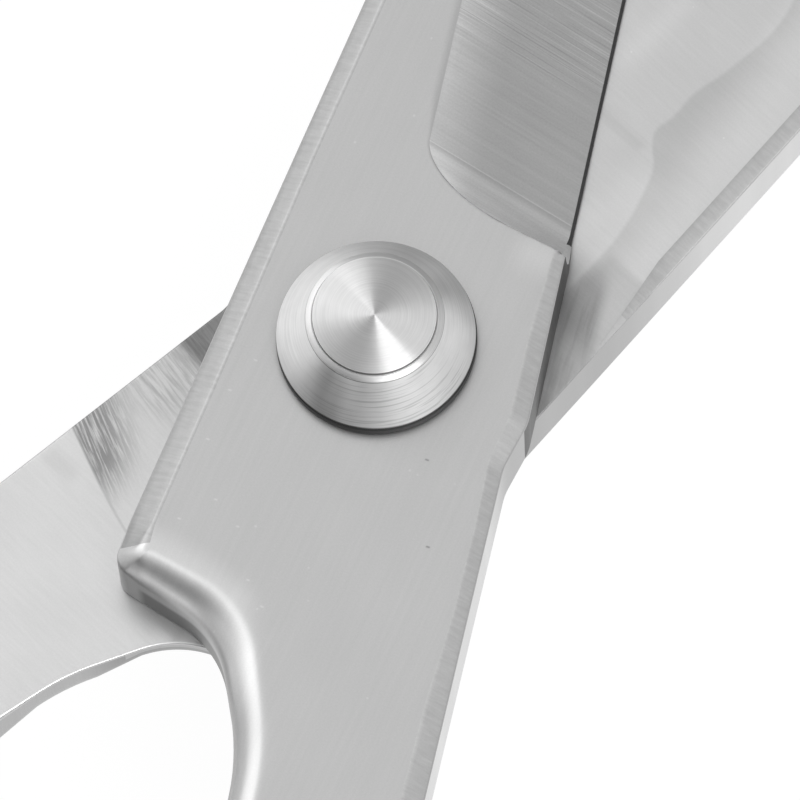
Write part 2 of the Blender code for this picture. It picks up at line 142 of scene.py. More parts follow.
ARC_STEP = 3.0
LONGEST_EDGE = 1.0
FINEST_EDGE = 0.12
PROFILE_POINTS = 12
CROWN = 0.15
INNER_CROWN = 0.7
ROUND_SEGMENTS = 192
MM = 0.001
PLAN_SPAN = 100.0
BATCH = 4000
FACE_MARGIN = 0.12
LEAST_SPACING = 0.45
BORDER_OFFSETS = (-0.45, -0.3, -0.16, -0.05, 0.0, 0.05, 0.16, 0.3, 0.45)
BORE_SEGMENTS = 96
HALF_SHARP = 38
ROUND_SHARP = 50

# Heights between which the ground surface is sought, and how often that interval is halved
SEARCH_LOW = -6.0
SEARCH_HIGH = 60.0
HALVINGS = 40


# Outline of a half in the closed position, blade up, cutting edge on the right

def side_x(offset, lean, y):
    return (offset - y * math.sin(math.radians(lean))) / math.cos(math.radians(lean))


def edge_x(y):
    return side_x(EDGE_OFFSET, EDGE_LEAN, y)


def joint_x(y):
    return side_x(EDGE_OFFSET + JOINT_STEP, EDGE_LEAN, y)


def spine_x(y):
    return -side_x(SPINE_OFFSET, SPINE_LEAN, y)


def shank_x(y):
    return side_x(SHANK_OFFSET, SHANK_LEAN, y)


def chamfer(width, depth):
    return (width, depth, 0.0)


def rounded(radius):
    return (radius, radius, 1.0)


# Small dark pits and bright nicks in the outer face, in the blank's plan
PITS = ((5.92, -9.6), (8.6, -11.36), (4.43, -5.27))
NICKS = ((-4.9, -10.5), (-6.3, -12.0), (-2.0, -14.0), (-3.4, -11.5), (-0.9, -15.1), (-6.3, -7.6),
         (-6.1, -4.8), (-5.4, -2.9))

# Hand finishing of the outer edges: widths read along the joint's side and the spine

HAIR = chamfer(0.05, 0.05)
HONED = chamfer(0.12, 0.15)
SIDE_WIDTHS = {CHOIL: 0.45, 3.0: 0.78, -1.8: 0.82, -4.4: 0.72, -8.0: 0.62, -12.5: 0.66, -17.0: 0.90,
               -23.0: 1.0}
SPINE_WIDTHS = {36.0: 0.9, 8.0: 0.95, -5.0: 1.15, -11.0: 1.2}
INNER_WIDTH = 0.85
REAR_JOG_SHIFT = 1.4
FINE_BREAK = 0.12
RUNOUT_AT = CHOIL + 2.3
HEAD_STEP = 0.26

# Right of this x lie the joint's side and the cutting edge
EDGE_SIDE = 4.0

# Corners of a finger hole as shares of its width and length, and their rounding in widths
HOLE = ((0.34, 0.0, 0.6), (0.86, 0.1, 0.6), (1.0, 0.5, 0.6), (0.94, 0.9, 0.7), (0.5, 1.0, 0.7),
        (0.0, 0.86, 0.7), (0.0, 0.12, 0.8))

# Edges of the throat, ground by hand: radius at the nose, fill, and the lower and upper edge
FRONT_THROAT = (THROAT_ROUND, 0.0, rounded(THROAT_ROUND), (1.25 * THROAT_ROUND, THROAT_ROUND, 1.0))
REAR_THROAT = (2.7, 0.42, (2.7, 3.25, 0.85), (2.7, 4.0, 0.55))


def side_edge(y):
    return chamfer(SIDE_WIDTHS[y], SIDE_WIDTHS[y] / 2)


def spine_edge(y):
    return chamfer(SPINE_WIDTHS[y], SPINE_WIDTHS[y] * 0.58)


def blank_corners(shift, throat):
    """Corners shared by both halves: x, y, plan radius, top edge, bottom edge."""
    nose_round, fill, low_edge, high_edge = throat
    crisp = rounded(FINE_BREAK)
    light = chamfer(0.1, 0.1)
    inner = chamfer(INNER_WIDTH, INNER_WIDTH * 0.35)
    tip = BLADE_LENGTH
    turn_in = BLADE_LENGTH * SPINE_CURVE_AT
    heel = CHOIL + 1.6
    jog = shift - JOG
    shank = jog - JOG_LENGTH
    blade_side = [
        (edge_x(tip) - 0.15, tip, 0.35, HONED, HAIR),
        (edge_x(heel), heel, 1.0, HONED, HAIR),
        (joint_x(CHOIL), CHOIL, 0.5, side_edge(CHOIL), HAIR),
        (joint_x(3.0), 3.0, 0.0, side_edge(3.0), HAIR),
        (joint_x(jog), jog, 3.0, side_edge(-1.8), HAIR),
        (shank_x(shank), shank, 3.0, side_edge(-4.4), light),
    ]
    blade_side += [(shank_x(y), y, 0.0, side_edge(y), light) for y in (-8.0, -12.5, -17.0, -23.0)]
    nose = spine_x(-NOSE_DROP)
    hand_side = [
        (0.2 - fill, -THROAT_DROP - 0.45 * fill, 12.0, low_edge, crisp),
        (-2.75 - 0.4 * fill, -NOSE_DROP - 1.64 - 0.4 * fill, 6.0, high_edge, crisp),
        (nose + 1.6, -NOSE_DROP - 0.43, 0.0, rounded(nose_round), crisp),
        (nose, -NOSE_DROP, 1.7, (1.5, 1.2, 0.7), crisp),
        (spine_x(-12.6), -12.6, 0.0, spine_edge(-11.0), crisp),
        (spine_x(-5.0), -5.0, 0.0, spine_edge(-5.0), HAIR),
        (spine_x(8.2), 8.2, 0.0, spine_edge(8.0), HAIR),
        (spine_x(14.2), 14.2, 0.0, spine_edge(8.0), inner),
        (spine_x(turn_in), turn_in, 60.0, spine_edge(36.0), inner),
    ]
    return blade_side, hand_side


def arms(places, i):
    """Corner i of a closed line, and the ways from it to the corners before and after."""
    here = places[i]
    return here, places[i - 1] - here, places[(i + 1) % len(places)] - here


def mitre(places, i):
    """Way inward at corner i for an inset of one, with the directions into and out of it."""
    _, before, after = arms(places, i)
    a = -before.normalized()
    b = after.normalized()
    na = Vector((a.y, -a.x))
    nb = Vector((b.y, -b.x))
    return (na + nb) / (1 + na.dot(nb)), a, b


def bow_corners(width, length, start):
    """Outer corners of a bow, and the corners of its finger hole."""
    inside = BOW_GAP / 2
    left = inside + BOW_WALL
    soft = rounded(BOW_ROUND)
    hole = [(left + a * width, -start - b * length, -c * width, soft, soft) for a, b, c in HOLE]
    places = [Vector(corner[:2]) for corner in hole]
    outer = [(shank_x(-36.0), -36.0, -14.0, soft, soft)]
    for i in range(1, 6):
        place = places[i] - mitre(places, i)[0] * BOW_WALL
        outer.append((place.x, place.y, -width, soft, soft))
    outer.append((inside, -52.0, -7.0, soft, soft))
    outer.append((inside + 1.2, -32.0, -6.0, rounded(THROAT_ROUND), rounded(SMALL_BREAK)))
    return outer, hole


def bend(a, b, c, t):
    """Place at share t of the parabola that leaves a toward b and ends at c."""
    return a * (1 - t) ** 2 + b * (2 * t * (1 - t)) + c * t ** 2


def corner_points(here, before, after, radius, steps):
    """Points of the arc, or of the parabola for a negative radius, that rounds a corner."""
    shares = [k / steps for k in range(steps + 1)]
    back = before.normalized()
    on = after.normalized()
    if radius < 0.0:
        first = here + back * min(-radius, 0.5 * before.length)
        last = here + on * min(-radius, 0.5 * after.length)
        return [bend(first, here, last, t) for t in shares]
    turn = math.pi - before.angle(after)
    reach = min(radius * math.tan(turn / 2), 0.49 * before.length, 0.49 * after.length)
    radius = reach / math.tan(turn / 2)
    sense = 1.0 if before.x * after.y - before.y * after.x < 0.0 else -1.0
    centre = here + (back + on).normalized() * (radius / math.cos(turn / 2))
    first = here + back * reach - centre
    return [centre + Matrix.Rotation(sense * turn * t, 2) @ first for t in shares]


class Outline:
    """A closed outline whose edge is finished in rings, each set in from the one before.

    Its corners are moved in along their mitres and rounded anew, so a corner whose edge
    is wider than its radius keeps a crisp ridge, as a dressed chamfer has.
    """

    def __init__(self, corners):
        self.places = [Vector(c[:2]) for c in corners]
        self.radii = [c[2] for c in corners]
        self.top = np.array([c[3] for c in corners])
        self.bottom = np.array([c[4] for c in corners])
        self.mitres = []
        self.convex = []
        self.steps = []
        for i, radius in enumerate(self.radii):
            inward, a, b = mitre(self.places, i)
            turn = a.angle(b)
            sharp = radius == 0.0 or turn < 1e-3
            self.mitres.append(inward)
            self.convex.append(a.x * b.y - a.y * b.x < 0.0)
            self.steps.append(0 if sharp else max(2, math.ceil(math.degrees(turn) / ARC_STEP)))
        self.spans = self.measure()

    def measure(self):
        """How many pieces each stretch of the outline is cut into."""
        rough = self.rough([0.0] * len(self.places), np.zeros((len(self.places), 0)))
        spans = []
        for a, b in zip(rough, rough[1:] + rough[:1]):
            fine_here = a[0] > EDGE_SIDE and CHOIL - 1.5 < a[1] < CHOIL + 4.5
            length = math.hypot(b[0] - a[0], b[1] - a[1])
            spans.append(max(1, math.ceil(length / (FINEST_EDGE if fine_here else LONGEST_EDGE))))
        return spans

    def rough(self, insets, extra):
        """Rows of x, y and the extra values at the corners' own points."""
        moved = [p + m * t for p, m, t in zip(self.places, self.mitres, insets)]
        rows = []
        for i, radius in enumerate(self.radii):
            here, before, after = arms(moved, i)
            change = insets[i] if self.convex[i] else -insets[i]
            if self.steps[i] == 0:
                points = [here]
            elif radius < 0.0:
                change *= math.tan((math.pi - before.angle(after)) / 2)
                points = corner_points(here, before, after, min(-0.05, radius + change), self.steps[i])
            else:
                points = corner_points(here, before, after, max(0.01, radius - change), self.steps[i])
            rows += [np.array([p.x, p.y, *extra[i]]) for p in points]
        return rows

    def ring(self, insets, extra):
        """Rows of x, y and the extra values along the ring."""
        rough = self.rough(insets, extra)
        fine = []
        for a, b, count in zip(rough, rough[1:] + rough[:1], self.spans):
            fine += [a + (b - a) * k / count for k in range(count)]
        return np.array(fine)


def edge_profile(width, depth, roundness, softness):
    """Insets and drops from the wall to the flat face, one row for each outline point.

    A chamfer has its corners eased and runs out in a slight crown, as a belt leaves it.
    A rounded edge is a quarter circle.
    """
    ease = np.minimum(softness, np.minimum(width, depth) / 3)
    length = np.maximum(np.hypot(width, depth), 1e-9)
    ease_x = ease * width / length
    ease_z = ease * depth / length
    reach = np.where(depth < 0.4 * width, INNER_CROWN, CROWN)
    crown = np.maximum(ease, reach * np.clip((width - 0.45) / 0.4, 0.0, 1.0) * (1 - roundness) ** 2)
    last = PROFILE_POINTS - 1
    insets = []
    drops = []
    for k in range(PROFILE_POINTS):
        if k < 4:
            t = k / 3
            cut_x = ease_x * t ** 2
            cut_z = bend(depth + ease, depth, depth - ease_z, t)
        elif k < 6:
            t = (k - 3) / 3
            cut_x = ease_x + (width - 2 * ease_x) * t
            cut_z = depth - ease_z - (depth - 2 * ease_z) * t
        else:
            t = (k - 6) / (last - 6)
            cut_x = bend(width - ease_x, width, width + crown, t)
            cut_z = ease_z * (1 - t) ** 2
        angle = k / last * math.pi / 2
        insets.append((1 - roundness) * cut_x + roundness * width * (1 - math.cos(angle)))
        drops.append((1 - roundness) * cut_z + roundness * depth * (1 - math.sin(angle)))
    return insets, drops


# The grinding of the outer face, as a height over the plan

def wheel_frame():
    """Origin of the wheel's crease, and the directions across it, off the bevel and along it."""
    lean = math.radians(EDGE_LEAN)
    skew = math.radians(RUNOUT_SKEW)
    rise = (PLATE - EDGE_LAND) / BEVEL_WIDTH
    toward = Vector((-math.cos(lean), -math.sin(lean), 0.0))
    plan = Vector((-math.cos(skew), math.sin(skew), 0.0))
    along = (plan + Vector((0, 0, rise * plan.dot(toward)))).normalized()
    up = (Vector((0, 0, 1)) - toward * rise).normalized()
    across = along.cross(up)
    if across.y > 0:
        across.negate()
    return Vector((edge_x(RUNOUT_AT), RUNOUT_AT, EDGE_LAND)), across, up, along


WHEEL, ACROSS, UP, ALONG = wheel_frame()


def wheel_section(u):
    """Height of the wheel's mark over the bevel plane, u past the crease."""
    kink = math.radians(RUNOUT_KINK)
    wall = math.radians(RUNOUT_WALL)
    reach = RUNOUT_RADIUS * (math.sin(wall) - math.sin(kink))
    sine = np.clip(u / RUNOUT_RADIUS + math.sin(kink), math.sin(kink), math.sin(wall))
    arc = RUNOUT_RADIUS * (math.cos(kink) - np.sqrt(1 - sine ** 2))
    return np.where(u <= 0, 0.0, arc + np.maximum(u - reach, 0.0) * math.tan(wall))


def wheel_reach(direction, x, y, z):
    """How far places lie from the wheel's origin along a direction."""
    return (x - WHEEL.x) * direction.x + (y - WHEEL.y) * direction.y + (z - WHEEL.z) * direction.z


def ground_height(x, y):
    """Height of the ground surface over each plan point, by halving the interval."""
    low = np.full(np.shape(x), SEARCH_LOW)
    high = np.full(np.shape(x), SEARCH_HIGH)
    for _ in range(HALVINGS):
        z = (low + high) / 2
        above = wheel_reach(UP, x, y, z) > wheel_section(wheel_reach(ACROSS, x, y, z))
        high = np.where(above, z, high)
        low = np.where(above, low, z)
    return (low + high) / 2


def soft_min(a, b, k):
    h = np.clip(0.5 + 0.5 * (b - a) / k, 0.0, 1.0)
    return b * (1 - h) + a * h - k * h * (1 - h)


def bevel_border(offset):
    """Plan line where the ground surface meets the plate, moved sideways by an offset."""
    u = np.concatenate([np.arange(-62.0, -1.0, 0.6), np.arange(-1.0, 3.6, 0.08)])
    v = wheel_section(u)
    w = (PLATE - WHEEL.z - ACROSS.z * u - UP.z * v) / ALONG.z
    x, y = (WHEEL[k] + ACROSS[k] * u + UP[k] * v + ALONG[k] * w for k in (0, 1))
    dx = np.gradient(x)
    dy = np.gradient(y)
    size = np.hypot(dx, dy)
    return np.stack([x + offset * dy / size, y - offset * dx / size], axis=1)


def crease_line(offset):
    """Plan line of the crease where the wheel's edge has left the bevel plane."""
    w = np.arange(0.1, 8.0, 0.25)
    return np.stack([WHEEL[k] + ALONG[k] * w + ACROSS[k] * offset for k in (0, 1)], axis=1)


def outer_face(x, y):
    """The plate and the ground surface, with a rounder border along the blade."""
    height = ground_height(x, y)
    u = wheel_reach(ACROSS, x, y, height)
    ease = 0.22 - 0.18 * np.clip((u + 2.5) / 2.5, 0.0, 1.0)
    return soft_min(np.full(np.shape(x), PLATE), height, ease)


def inner_face(x, y):
    """Hollow of the blade's inner face, an ellipsoid's cap."""
    depth = 10 * HOLLOW_DEPTH
    spread = 1 / math.sqrt(1 - 0.9 ** 2)
    middle_y = JOINT_WASHER_RADIUS + 5.0 + HOLLOW_LENGTH / 2
    middle_x = (edge_x(middle_y) + spine_x(middle_y)) / 2
    tilt = math.atan2(spine_x(0) + edge_x(0) - 2 * middle_x, 2 * middle_y)
    dx = x - middle_x
    dy = y - middle_y
    a = (dx * math.cos(tilt) + dy * math.sin(tilt)) / (HOLLOW_WIDTH / 2 * spread)
    b = (-dx * math.sin(tilt) + dy * math.cos(tilt)) / (HOLLOW_LENGTH / 2 * spread)
    dome = np.sqrt(np.maximum(0.0, 1 - a ** 2 - b ** 2))
    return np.maximum(0.0, HOLLOW_DEPTH - depth + depth * dome)


def crank_drop(y):
    """How far the shank is cranked down, from nothing to half the halves' distance."""
    share = np.clip((-y - CRANK_START) / CRANK_LENGTH, 0.0, 1.0)
    return share ** 2 * (3 - 2 * share) * (PLATE + JOINT_GAP) / 2


# Mesh of a half

def within(points, ring):
    """Which points lie inside a closed ring, worked out in batches."""
    hit = np.zeros(len(points), bool)
    ax, ay = ring[:, 0], ring[:, 1]
    bx, by = np.roll(ax, -1), np.roll(ay, -1)
    step = np.where(by == ay, 1e-12, by - ay)
    for first in range(0, len(points), BATCH):
        x, y = points[first:first + BATCH, :2].T[:, :, None]
        crossed = ((ay > y) != (by > y)) & (x < (bx - ax) * (y - ay) / step + ax)
        hit[first:first + BATCH] = crossed.sum(axis=1) % 2 == 1
    return hit


def nearest_of(points):
    tree = KDTree(len(points))
    for k, (x, y) in enumerate(points):
        tree.insert((x, y, 0.0), k)
    tree.balance()
    return tree


def on_face(points, rings):
    """Which points lie inside the first ring and outside the others."""
    keep = within(points, rings[0])
    for ring in rings[1:]:
        keep &= ~within(points, ring)
    return keep


def plan_points(rings, margin, lines, grids):
    """Points and constraint edges inside a face, clear of its borders."""
    border = nearest_of([place for ring in rings for place in ring])

    def clear(points, least):
        near = [border.find((x, y, 0.0))[2] for x, y in points]
        return on_face(points, rings) & (np.array(near) > least)

    points = []
    edges = []
    for line in lines:
        last = None
        for place, good in zip(line, clear(line, margin / 3)):
            if good:
                points.append(place)
                if last is not None:
                    edges.append((last, len(points) - 1))
            last = len(points) - 1 if good else None
    taken = nearest_of(points) if points else None
    for x0, x1, y0, y1, pitch in grids:
        places = np.meshgrid(np.arange(x0, x1, pitch), np.arange(y0, y1, pitch))
        grid = np.stack(places, axis=-1).reshape(-1, 2)
        grid[:, 0] += 0.5 * pitch * (np.round((grid[:, 1] - y0) / pitch) % 2)
        for place in grid[clear(grid, margin)]:
            if taken is None or taken.find((*place, 0.0))[2] >= pitch * LEAST_SPACING:
                points.append(place)
    return points, edges


class Shell:
    """Vertices and faces of a half while it is put together, in the blank's own frame."""

    def __init__(self):
        self.points = []
        self.faces = []
        self.finish = []

    def ring(self, rows):
        start = len(self.points)
        self.points += [tuple(r) for r in rows]
        return list(range(start, len(self.points)))

    def band(self, low, high, finish):
        for i in range(len(low)):
            self.faces.append((low[i - 1], low[i], high[i], high[i - 1]))
            self.finish.append(int(finish[i]))

    def cap(self, loops, height_of, finish_of, lines, grids):
        """Fill the first loop, round the others, with triangles at given heights."""
        rings = [np.array([self.points[i][:2] for i in loop]) for loop in loops]
        owner = [i for loop in loops for i in loop]
        flat = [Vector(self.points[i][:2]) for i in owner]
        edges = []
        for loop in loops:
            start = len(edges)
            edges += [(start + k, start + (k + 1) % len(loop)) for k in range(len(loop))]
        base = len(flat)
        extra, more = plan_points(rings, FACE_MARGIN, lines, grids)
        flat += [Vector(p) for p in extra]
        edges += [(base + a, base + b) for a, b in more]
        made, _, tris, origin, _, _ = delaunay_2d_cdt(flat, edges, [], 0, 1e-6)
        plan = np.array([[v.x, v.y] for v in made])
        heights = height_of(plan[:, 0], plan[:, 1])
        index = []
        for k, source in enumerate(origin):
            known = [owner[s] for s in source if s < base]
            if known:
                index.append(known[0])
                continue
            index.append(len(self.points))
            self.points.append((plan[k, 0], plan[k, 1], heights[k]))
        middle = plan[np.array(tris)].mean(axis=1)
        for tri, good, finish in zip(tris, on_face(middle, rings), finish_of(middle)):
            corner = [index[i] for i in tri]
            if good and len(set(corner)) == 3:
                self.faces.append(tuple(corner))
                self.finish.append(int(finish))


SATIN, EDGE, GROUND, INNER, WALL, SIDE = range(6)


def edge_finish(path, k, high):
    """Finish of each face between two rings of an edge, by its place on the profile."""
    first = 2 if high else 5
    width, roundness = path[:, first], path[:, first + 2]
    worked = (width > 0.4) & (roundness < 0.5) & (3 <= k < (12 if high else 7))
    plain = np.where(worked, EDGE, SATIN if high else INNER)
    # The honed cutting edge takes the dark skin too, as painted shade for the gap under it
    honed = (path[:, 0] > EDGE_SIDE) & (path[:, 1] > CHOIL) & (width < 0.2)
    return np.where(honed, WALL, plain)


def wall_finish(path):
    """The joint's side and the cutting edge keep the dark skin of the forging, made darker as painted shade
    for the gap between the halves.
    """
    dark = (path[:, 0] > EDGE_SIDE) & (path[:, 1] > -2.2)
    throat = (path[:, 4] > 0.6) & (path[:, 1] > -30.0) & (path[:, 0] < EDGE_SIDE)
    return np.where(dark, WALL, np.where(throat, SATIN, SIDE))


def circle(radius, z):
    angles = [-2 * math.pi * k / BORE_SEGMENTS for k in range(BORE_SEGMENTS)]
    return [(radius * math.cos(angle), radius * math.sin(angle), z) for angle in angles]


def outer_finish(places):
    return np.where(ground_height(*places.T) < PLATE, GROUND, SATIN)


def inner_finish(places):
    return np.full(len(places), INNER)


def half_shell(bow, bore, shift, throat, softness):
    """Shell of a half: the edges in rings, the pivot's seat and bore, and the two faces."""
    blade_side, hand_side = blank_corners(shift, throat)
    outer, hole = bow_corners(*bow)
    shell = Shell()
    tops = []
    bottoms = []
    for corners in (blade_side + outer + hand_side, hole[::-1]):
        outline = Outline(corners)
        path = outline.ring(np.zeros(len(corners)), np.hstack([outline.top, outline.bottom]))
        rings = []
        finishes = []
        insets, drops = edge_profile(*outline.bottom.T, softness)
        for k in range(PROFILE_POINTS - 1, -1, -1):
            rings.append(shell.ring(outline.ring(insets[k], drops[k][:, None])))
            finishes.append(edge_finish(path, k - 1, False) if k else wall_finish(path))
        insets, drops = edge_profile(*outline.top.T, softness)
        for k in range(PROFILE_POINTS):
            rows = outline.ring(insets[k], drops[k][:, None])
            face = outer_face(rows[:, 0], rows[:, 1])
            finish = edge_finish(path, k, True)
            finish[(face < PLATE - 0.05) & (finish != WALL)] = GROUND
            rings.append(shell.ring(np.column_stack([rows[:, :2], face - rows[:, 2]])))
            finishes.append(finish)
        for low, high, finish in zip(rings, rings[1:], finishes):
            shell.band(low, high, finish)
        bottoms.append(rings[0])
        tops.append(rings[-1])
    circles = ((SEAT_RADIUS, 0.0), (SEAT_RADIUS, SEAT_DEPTH), (bore, SEAT_DEPTH), (bore, PLATE))
    seat = [shell.ring(circle(radius, z)) for radius, z in circles]
    for low, high in zip(seat, seat[1:]):
        shell.band(low, high, [SATIN] * len(low))
    borders = [bevel_border(offset) for offset in BORDER_OFFSETS]
    creases = [crease_line(0.0), crease_line(0.12)]
    # Grids of points: x0, x1, y0, y1, pitch
    wide = (-12.0, bow[0] + 20.0, -bow[1] - bow[2] - 10.0, BLADE_LENGTH, 1.6)
    near_runout = (-2.4, 8.4, 5.6, 12.6, 0.16)
    blade = (-8.0, 8.4, 8.0, 62.0, 0.8)
    shell.cap(tops + [seat[-1]], outer_face, outer_finish, borders + creases, [near_runout, wide])
    shell.cap(bottoms + [seat[0]], inner_face, inner_finish, [], [blade, wide])
    return shell


def linked_object(name, mesh, sharp):
    """Object of a mesh that is creased where its faces meet at a sharper angle, in degrees."""
    mesh.set_sharp_from_angle(angle=math.radians(sharp))
    ob = bpy.data.objects.new(name, mesh)
    bpy.context.scene.collection.objects.link(ob)
    ob.modifiers.new("weighted normals", "WEIGHTED_NORMAL").keep_sharp = True
    return ob


def place_half(name, shell, turned_over, materials):
    """Object of a half at rest, in metres, with the blank's plan kept as its UV map."""
    mesh = bpy.data.meshes.new(name)
    mesh.from_pydata(np.array(shell.points).tolist(), [], shell.faces)
    for mat in materials:
        mesh.materials.append(mat)
    mesh.polygons.foreach_set("material_index", shell.finish)
    bm = bmesh.new()
    bm.from_mesh(mesh)
    bmesh.ops.remove_doubles(bm, verts=bm.verts[:], dist=1e-4)
    bmesh.ops.dissolve_degenerate(bm, edges=bm.edges[:], dist=1e-4)
    bmesh.ops.recalc_face_normals(bm, faces=bm.faces[:])
    layer = bm.loops.layers.uv.new("blank")
    for face in bm.faces:
        face.smooth = True
        for loop in face.loops:
            loop[layer].uv = (loop.vert.co.x / PLAN_SPAN, loop.vert.co.y / PLAN_SPAN)
    for vert in bm.verts:
        vert.co.z -= crank_drop(vert.co.y)
    turn = Matrix.Rotation(math.radians(-TURN if turned_over else TURN), 4, "Z")
    if turned_over:
        turn = turn @ Matrix.Rotation(math.pi, 4, "Y")
    lift = Matrix.Translation((0, 0, JOINT_GAP / 2))
    whole = Matrix.Scale(MM, 4) @ Matrix.Translation((0, 0, Z_JOINT)) @ turn @ lift
    bmesh.ops.transform(bm, matrix=whole, verts=bm.verts[:])
    for vert in bm.verts:
        vert.co = [max(a, min(b, c)) for a, b, c in zip(*CAD_BOX, vert.co)]
    bm.to_mesh(mesh)
    bm.free()
    return linked_object(name, mesh, HALF_SHARP)


# Turned pieces of the pivot

def eased_section(corners):
    """Round the corners of a closed section, given as radius, height and ease."""
    places = [Vector(c[:2]) for c in corners]
    section = []
    for i, corner in enumerate(corners):
        section += corner_points(*arms(places, i), -corner[2], 4) if corner[2] else [places[i]]
    return section


def swept(name, angles, sections, mat, centre=(0.0, 0.0)):
    """Round piece with a section at every angle.

    A section more than a full turn has makes an open piece, whose two ends are closed.
    """
    bm = bmesh.new()
    rows = []
    for angle, section in zip(angles, sections):
        x, y = math.cos(angle), math.sin(angle)
        rows.append([bm.verts.new((centre[0] + r * x, centre[1] + r * y, z)) for r, z in section])
    split = len(rows) > ROUND_SEGMENTS
    for i in range(1 if split else 0, len(rows)):
        for j, (r, _) in enumerate(sections[i]):
            if r or sections[i][j - 1][0]:
                bm.faces.new((rows[i - 1][j - 1], rows[i - 1][j], rows[i][j], rows[i][j - 1]))
    if split:
        bm.faces.new(rows[0])
        bm.faces.new(rows[-1])
    bmesh.ops.remove_doubles(bm, verts=bm.verts[:], dist=1e-5)
    bmesh.ops.recalc_face_normals(bm, faces=bm.faces[:])
    for face in bm.faces:
        face.smooth = True
    bmesh.ops.scale(bm, vec=(MM, MM, MM), verts=bm.verts[:])
    mesh = bpy.data.meshes.new(name)
    bm.to_mesh(mesh)
    bm.free()
    mesh.materials.append(mat)
    return linked_object(name, mesh, ROUND_SHARP)


def turns(count=ROUND_SEGMENTS):
    return [2 * math.pi * k / ROUND_SEGMENTS for k in range(count)]


def lathe(name, corners, mat, centre=(0.0, 0.0)):
    return swept(name, turns(), [eased_section(corners)] * ROUND_SEGMENTS, mat, centre)


def ring_corners(inner, outer, low, high, ease):
    return [(inner, low, ease), (outer, low, ease), (outer, high, ease), (inner, high, ease)]


def split_ring(name, corners, slot, mat):
    open_share = 1 - slot / 360
    angles = [math.radians(slot / 2) + open_share * turn for turn in turns(ROUND_SEGMENTS + 1)]
    return swept(name, angles, [eased_section(corners)] * len(angles), mat)


def hexagon_nut(name, mat):
    """Nut whose corners are cut by a cone on both faces, so its flats end in arcs."""
    flat = NUT_ACROSS / 2 * 0.95
    inner = BORE_RADIUS + 0.3
    low = Z_NUT
    high = Z_NUT + NUT_HEIGHT
    sections = []
    for angle in turns():
        turned = (angle - math.radians(NUT_TURN)) % (math.pi / 3)
        radius = NUT_ACROSS / 2 / math.cos(turned - math.pi / 6)
        drop = max(0.0, radius - flat) * 0.5
        sections.append([
            (BORE_RADIUS, low + 0.3), (inner, low), (flat, low), (radius, low + drop),
            (radius, high - drop), (flat, high), (inner, high), (BORE_RADIUS, high - 0.3),
        ])
    return swept(name, turns(), sections, mat)


# Materials

CURVE_SPAN = 40.0
NOISE_LOW = 0.3
NOISE_HIGH = 0.7
QUARTER_TURN = 0.25
SMOOTH = "SMOOTHSTEP"


def linear(hex_colour):
    """Linear colour of an sRGB hex value, such as the string BDBDBD."""
    out = []
    for k in (0, 2, 4):
        c = int(hex_colour[k:k + 2], 16) / 255
        out.append(c / 12.92 if c <= 0.04045 else ((c + 0.055) / 1.055) ** 2.4)
    return (*out, 1.0)


def add(tree, kind, settings=None, links=None):
    """Add a shader node, set its properties or unlinked sockets, and link its inputs."""
    node = tree.nodes.new("ShaderNode" + kind)
    for key, value in (settings or {}).items():
        if isinstance(key, str) and hasattr(node, key):
            setattr(node, key, value)
        else:
            node.inputs[key].default_value = value
    for key, source in (links or {}).items():
        tree.links.new(source, node.inputs[key])
    return node


def joined(tree, operation, sources):
    """All the values joined by one operation."""
    whole = sources[0]
    for source in sources[1:]:
        whole = add(tree, "Math", {"operation": operation}, {0: whole, 1: source}).outputs[0]
    return whole


def times(tree, value, factor):
    return add(tree, "Math", {"operation": "MULTIPLY", 1: factor}, {0: value}).outputs[0]


def ramp(tree, value, start, end, low=0.0, high=1.0, kind="LINEAR"):
    """Low where the value is at the start, high where it is at the end, and held outside."""
    ends = {"From Min": start, "From Max": end, "To Min": low, "To Max": high}
    return add(tree, "MapRange", {"interpolation_type": kind, **ends}, {"Value": value}).outputs[0]


def axis(tree, vector, k):
    return add(tree, "SeparateXYZ", {}, {0: vector}).outputs[k]


def scaled(tree, vector, factor):
    return add(tree, "VectorMath", {"operation": "SCALE", "Scale": factor}, {0: vector}).outputs[0]


def facing(tree, vector, direction):
    """How far a vector reaches along a direction."""
    node = add(tree, "VectorMath", {"operation": "DOT_PRODUCT", 1: direction}, {0: vector})
    return node.outputs["Value"]


def blank_material(name):
    mat = bpy.data.materials.new(name)
    mat.use_nodes = True
    mat.node_tree.nodes.clear()
    return mat, mat.node_tree


def plan_material(name):
    """Material of a half, with the blank's plan in millimetres and its x and y."""
    mat, tree = blank_material(name)
    mm = scaled(tree, add(tree, "UVMap", {"uv_map": "blank"}).outputs[0], PLAN_SPAN)
    return mat, tree, mm, axis(tree, mm, 0), axis(tree, mm, 1)


def piece_millimetres(tree):
    """A piece's own coordinates in millimetres."""
    return scaled(tree, add(tree, "TexCoord").outputs["Object"], 1 / MM)


def grit_lines(tree, mm, angle, length, spacing, spread, detail=4.0):
    """Lines left by a belt or brush: a brightness around one, and the raw height."""
    turn = (0, 0, math.radians(angle))
    lie = {"vector_type": "TEXTURE", "Rotation": turn, "Scale": (length, spacing, 1.0)}
    place = add(tree, "Mapping", lie, {"Vector": mm}).outputs[0]
    grit = {"Scale": 1.0, "Detail": detail, "Roughness": 0.6}
    noise = add(tree, "TexNoise", grit, {"Vector": place}).outputs[0]
    return ramp(tree, noise, NOISE_LOW, NOISE_HIGH, 1 - spread, 1 + spread), noise


def cloudy(tree, mm, size, spread):
    """Slow changes of tone over a given size in millimetres."""
    noise = add(tree, "TexNoise", {"Scale": 1 / size, "Detail": 2.0}, {"Vector": mm}).outputs[0]
    return ramp(tree, noise, NOISE_LOW, NOISE_HIGH, 1 - spread, 1 + spread)


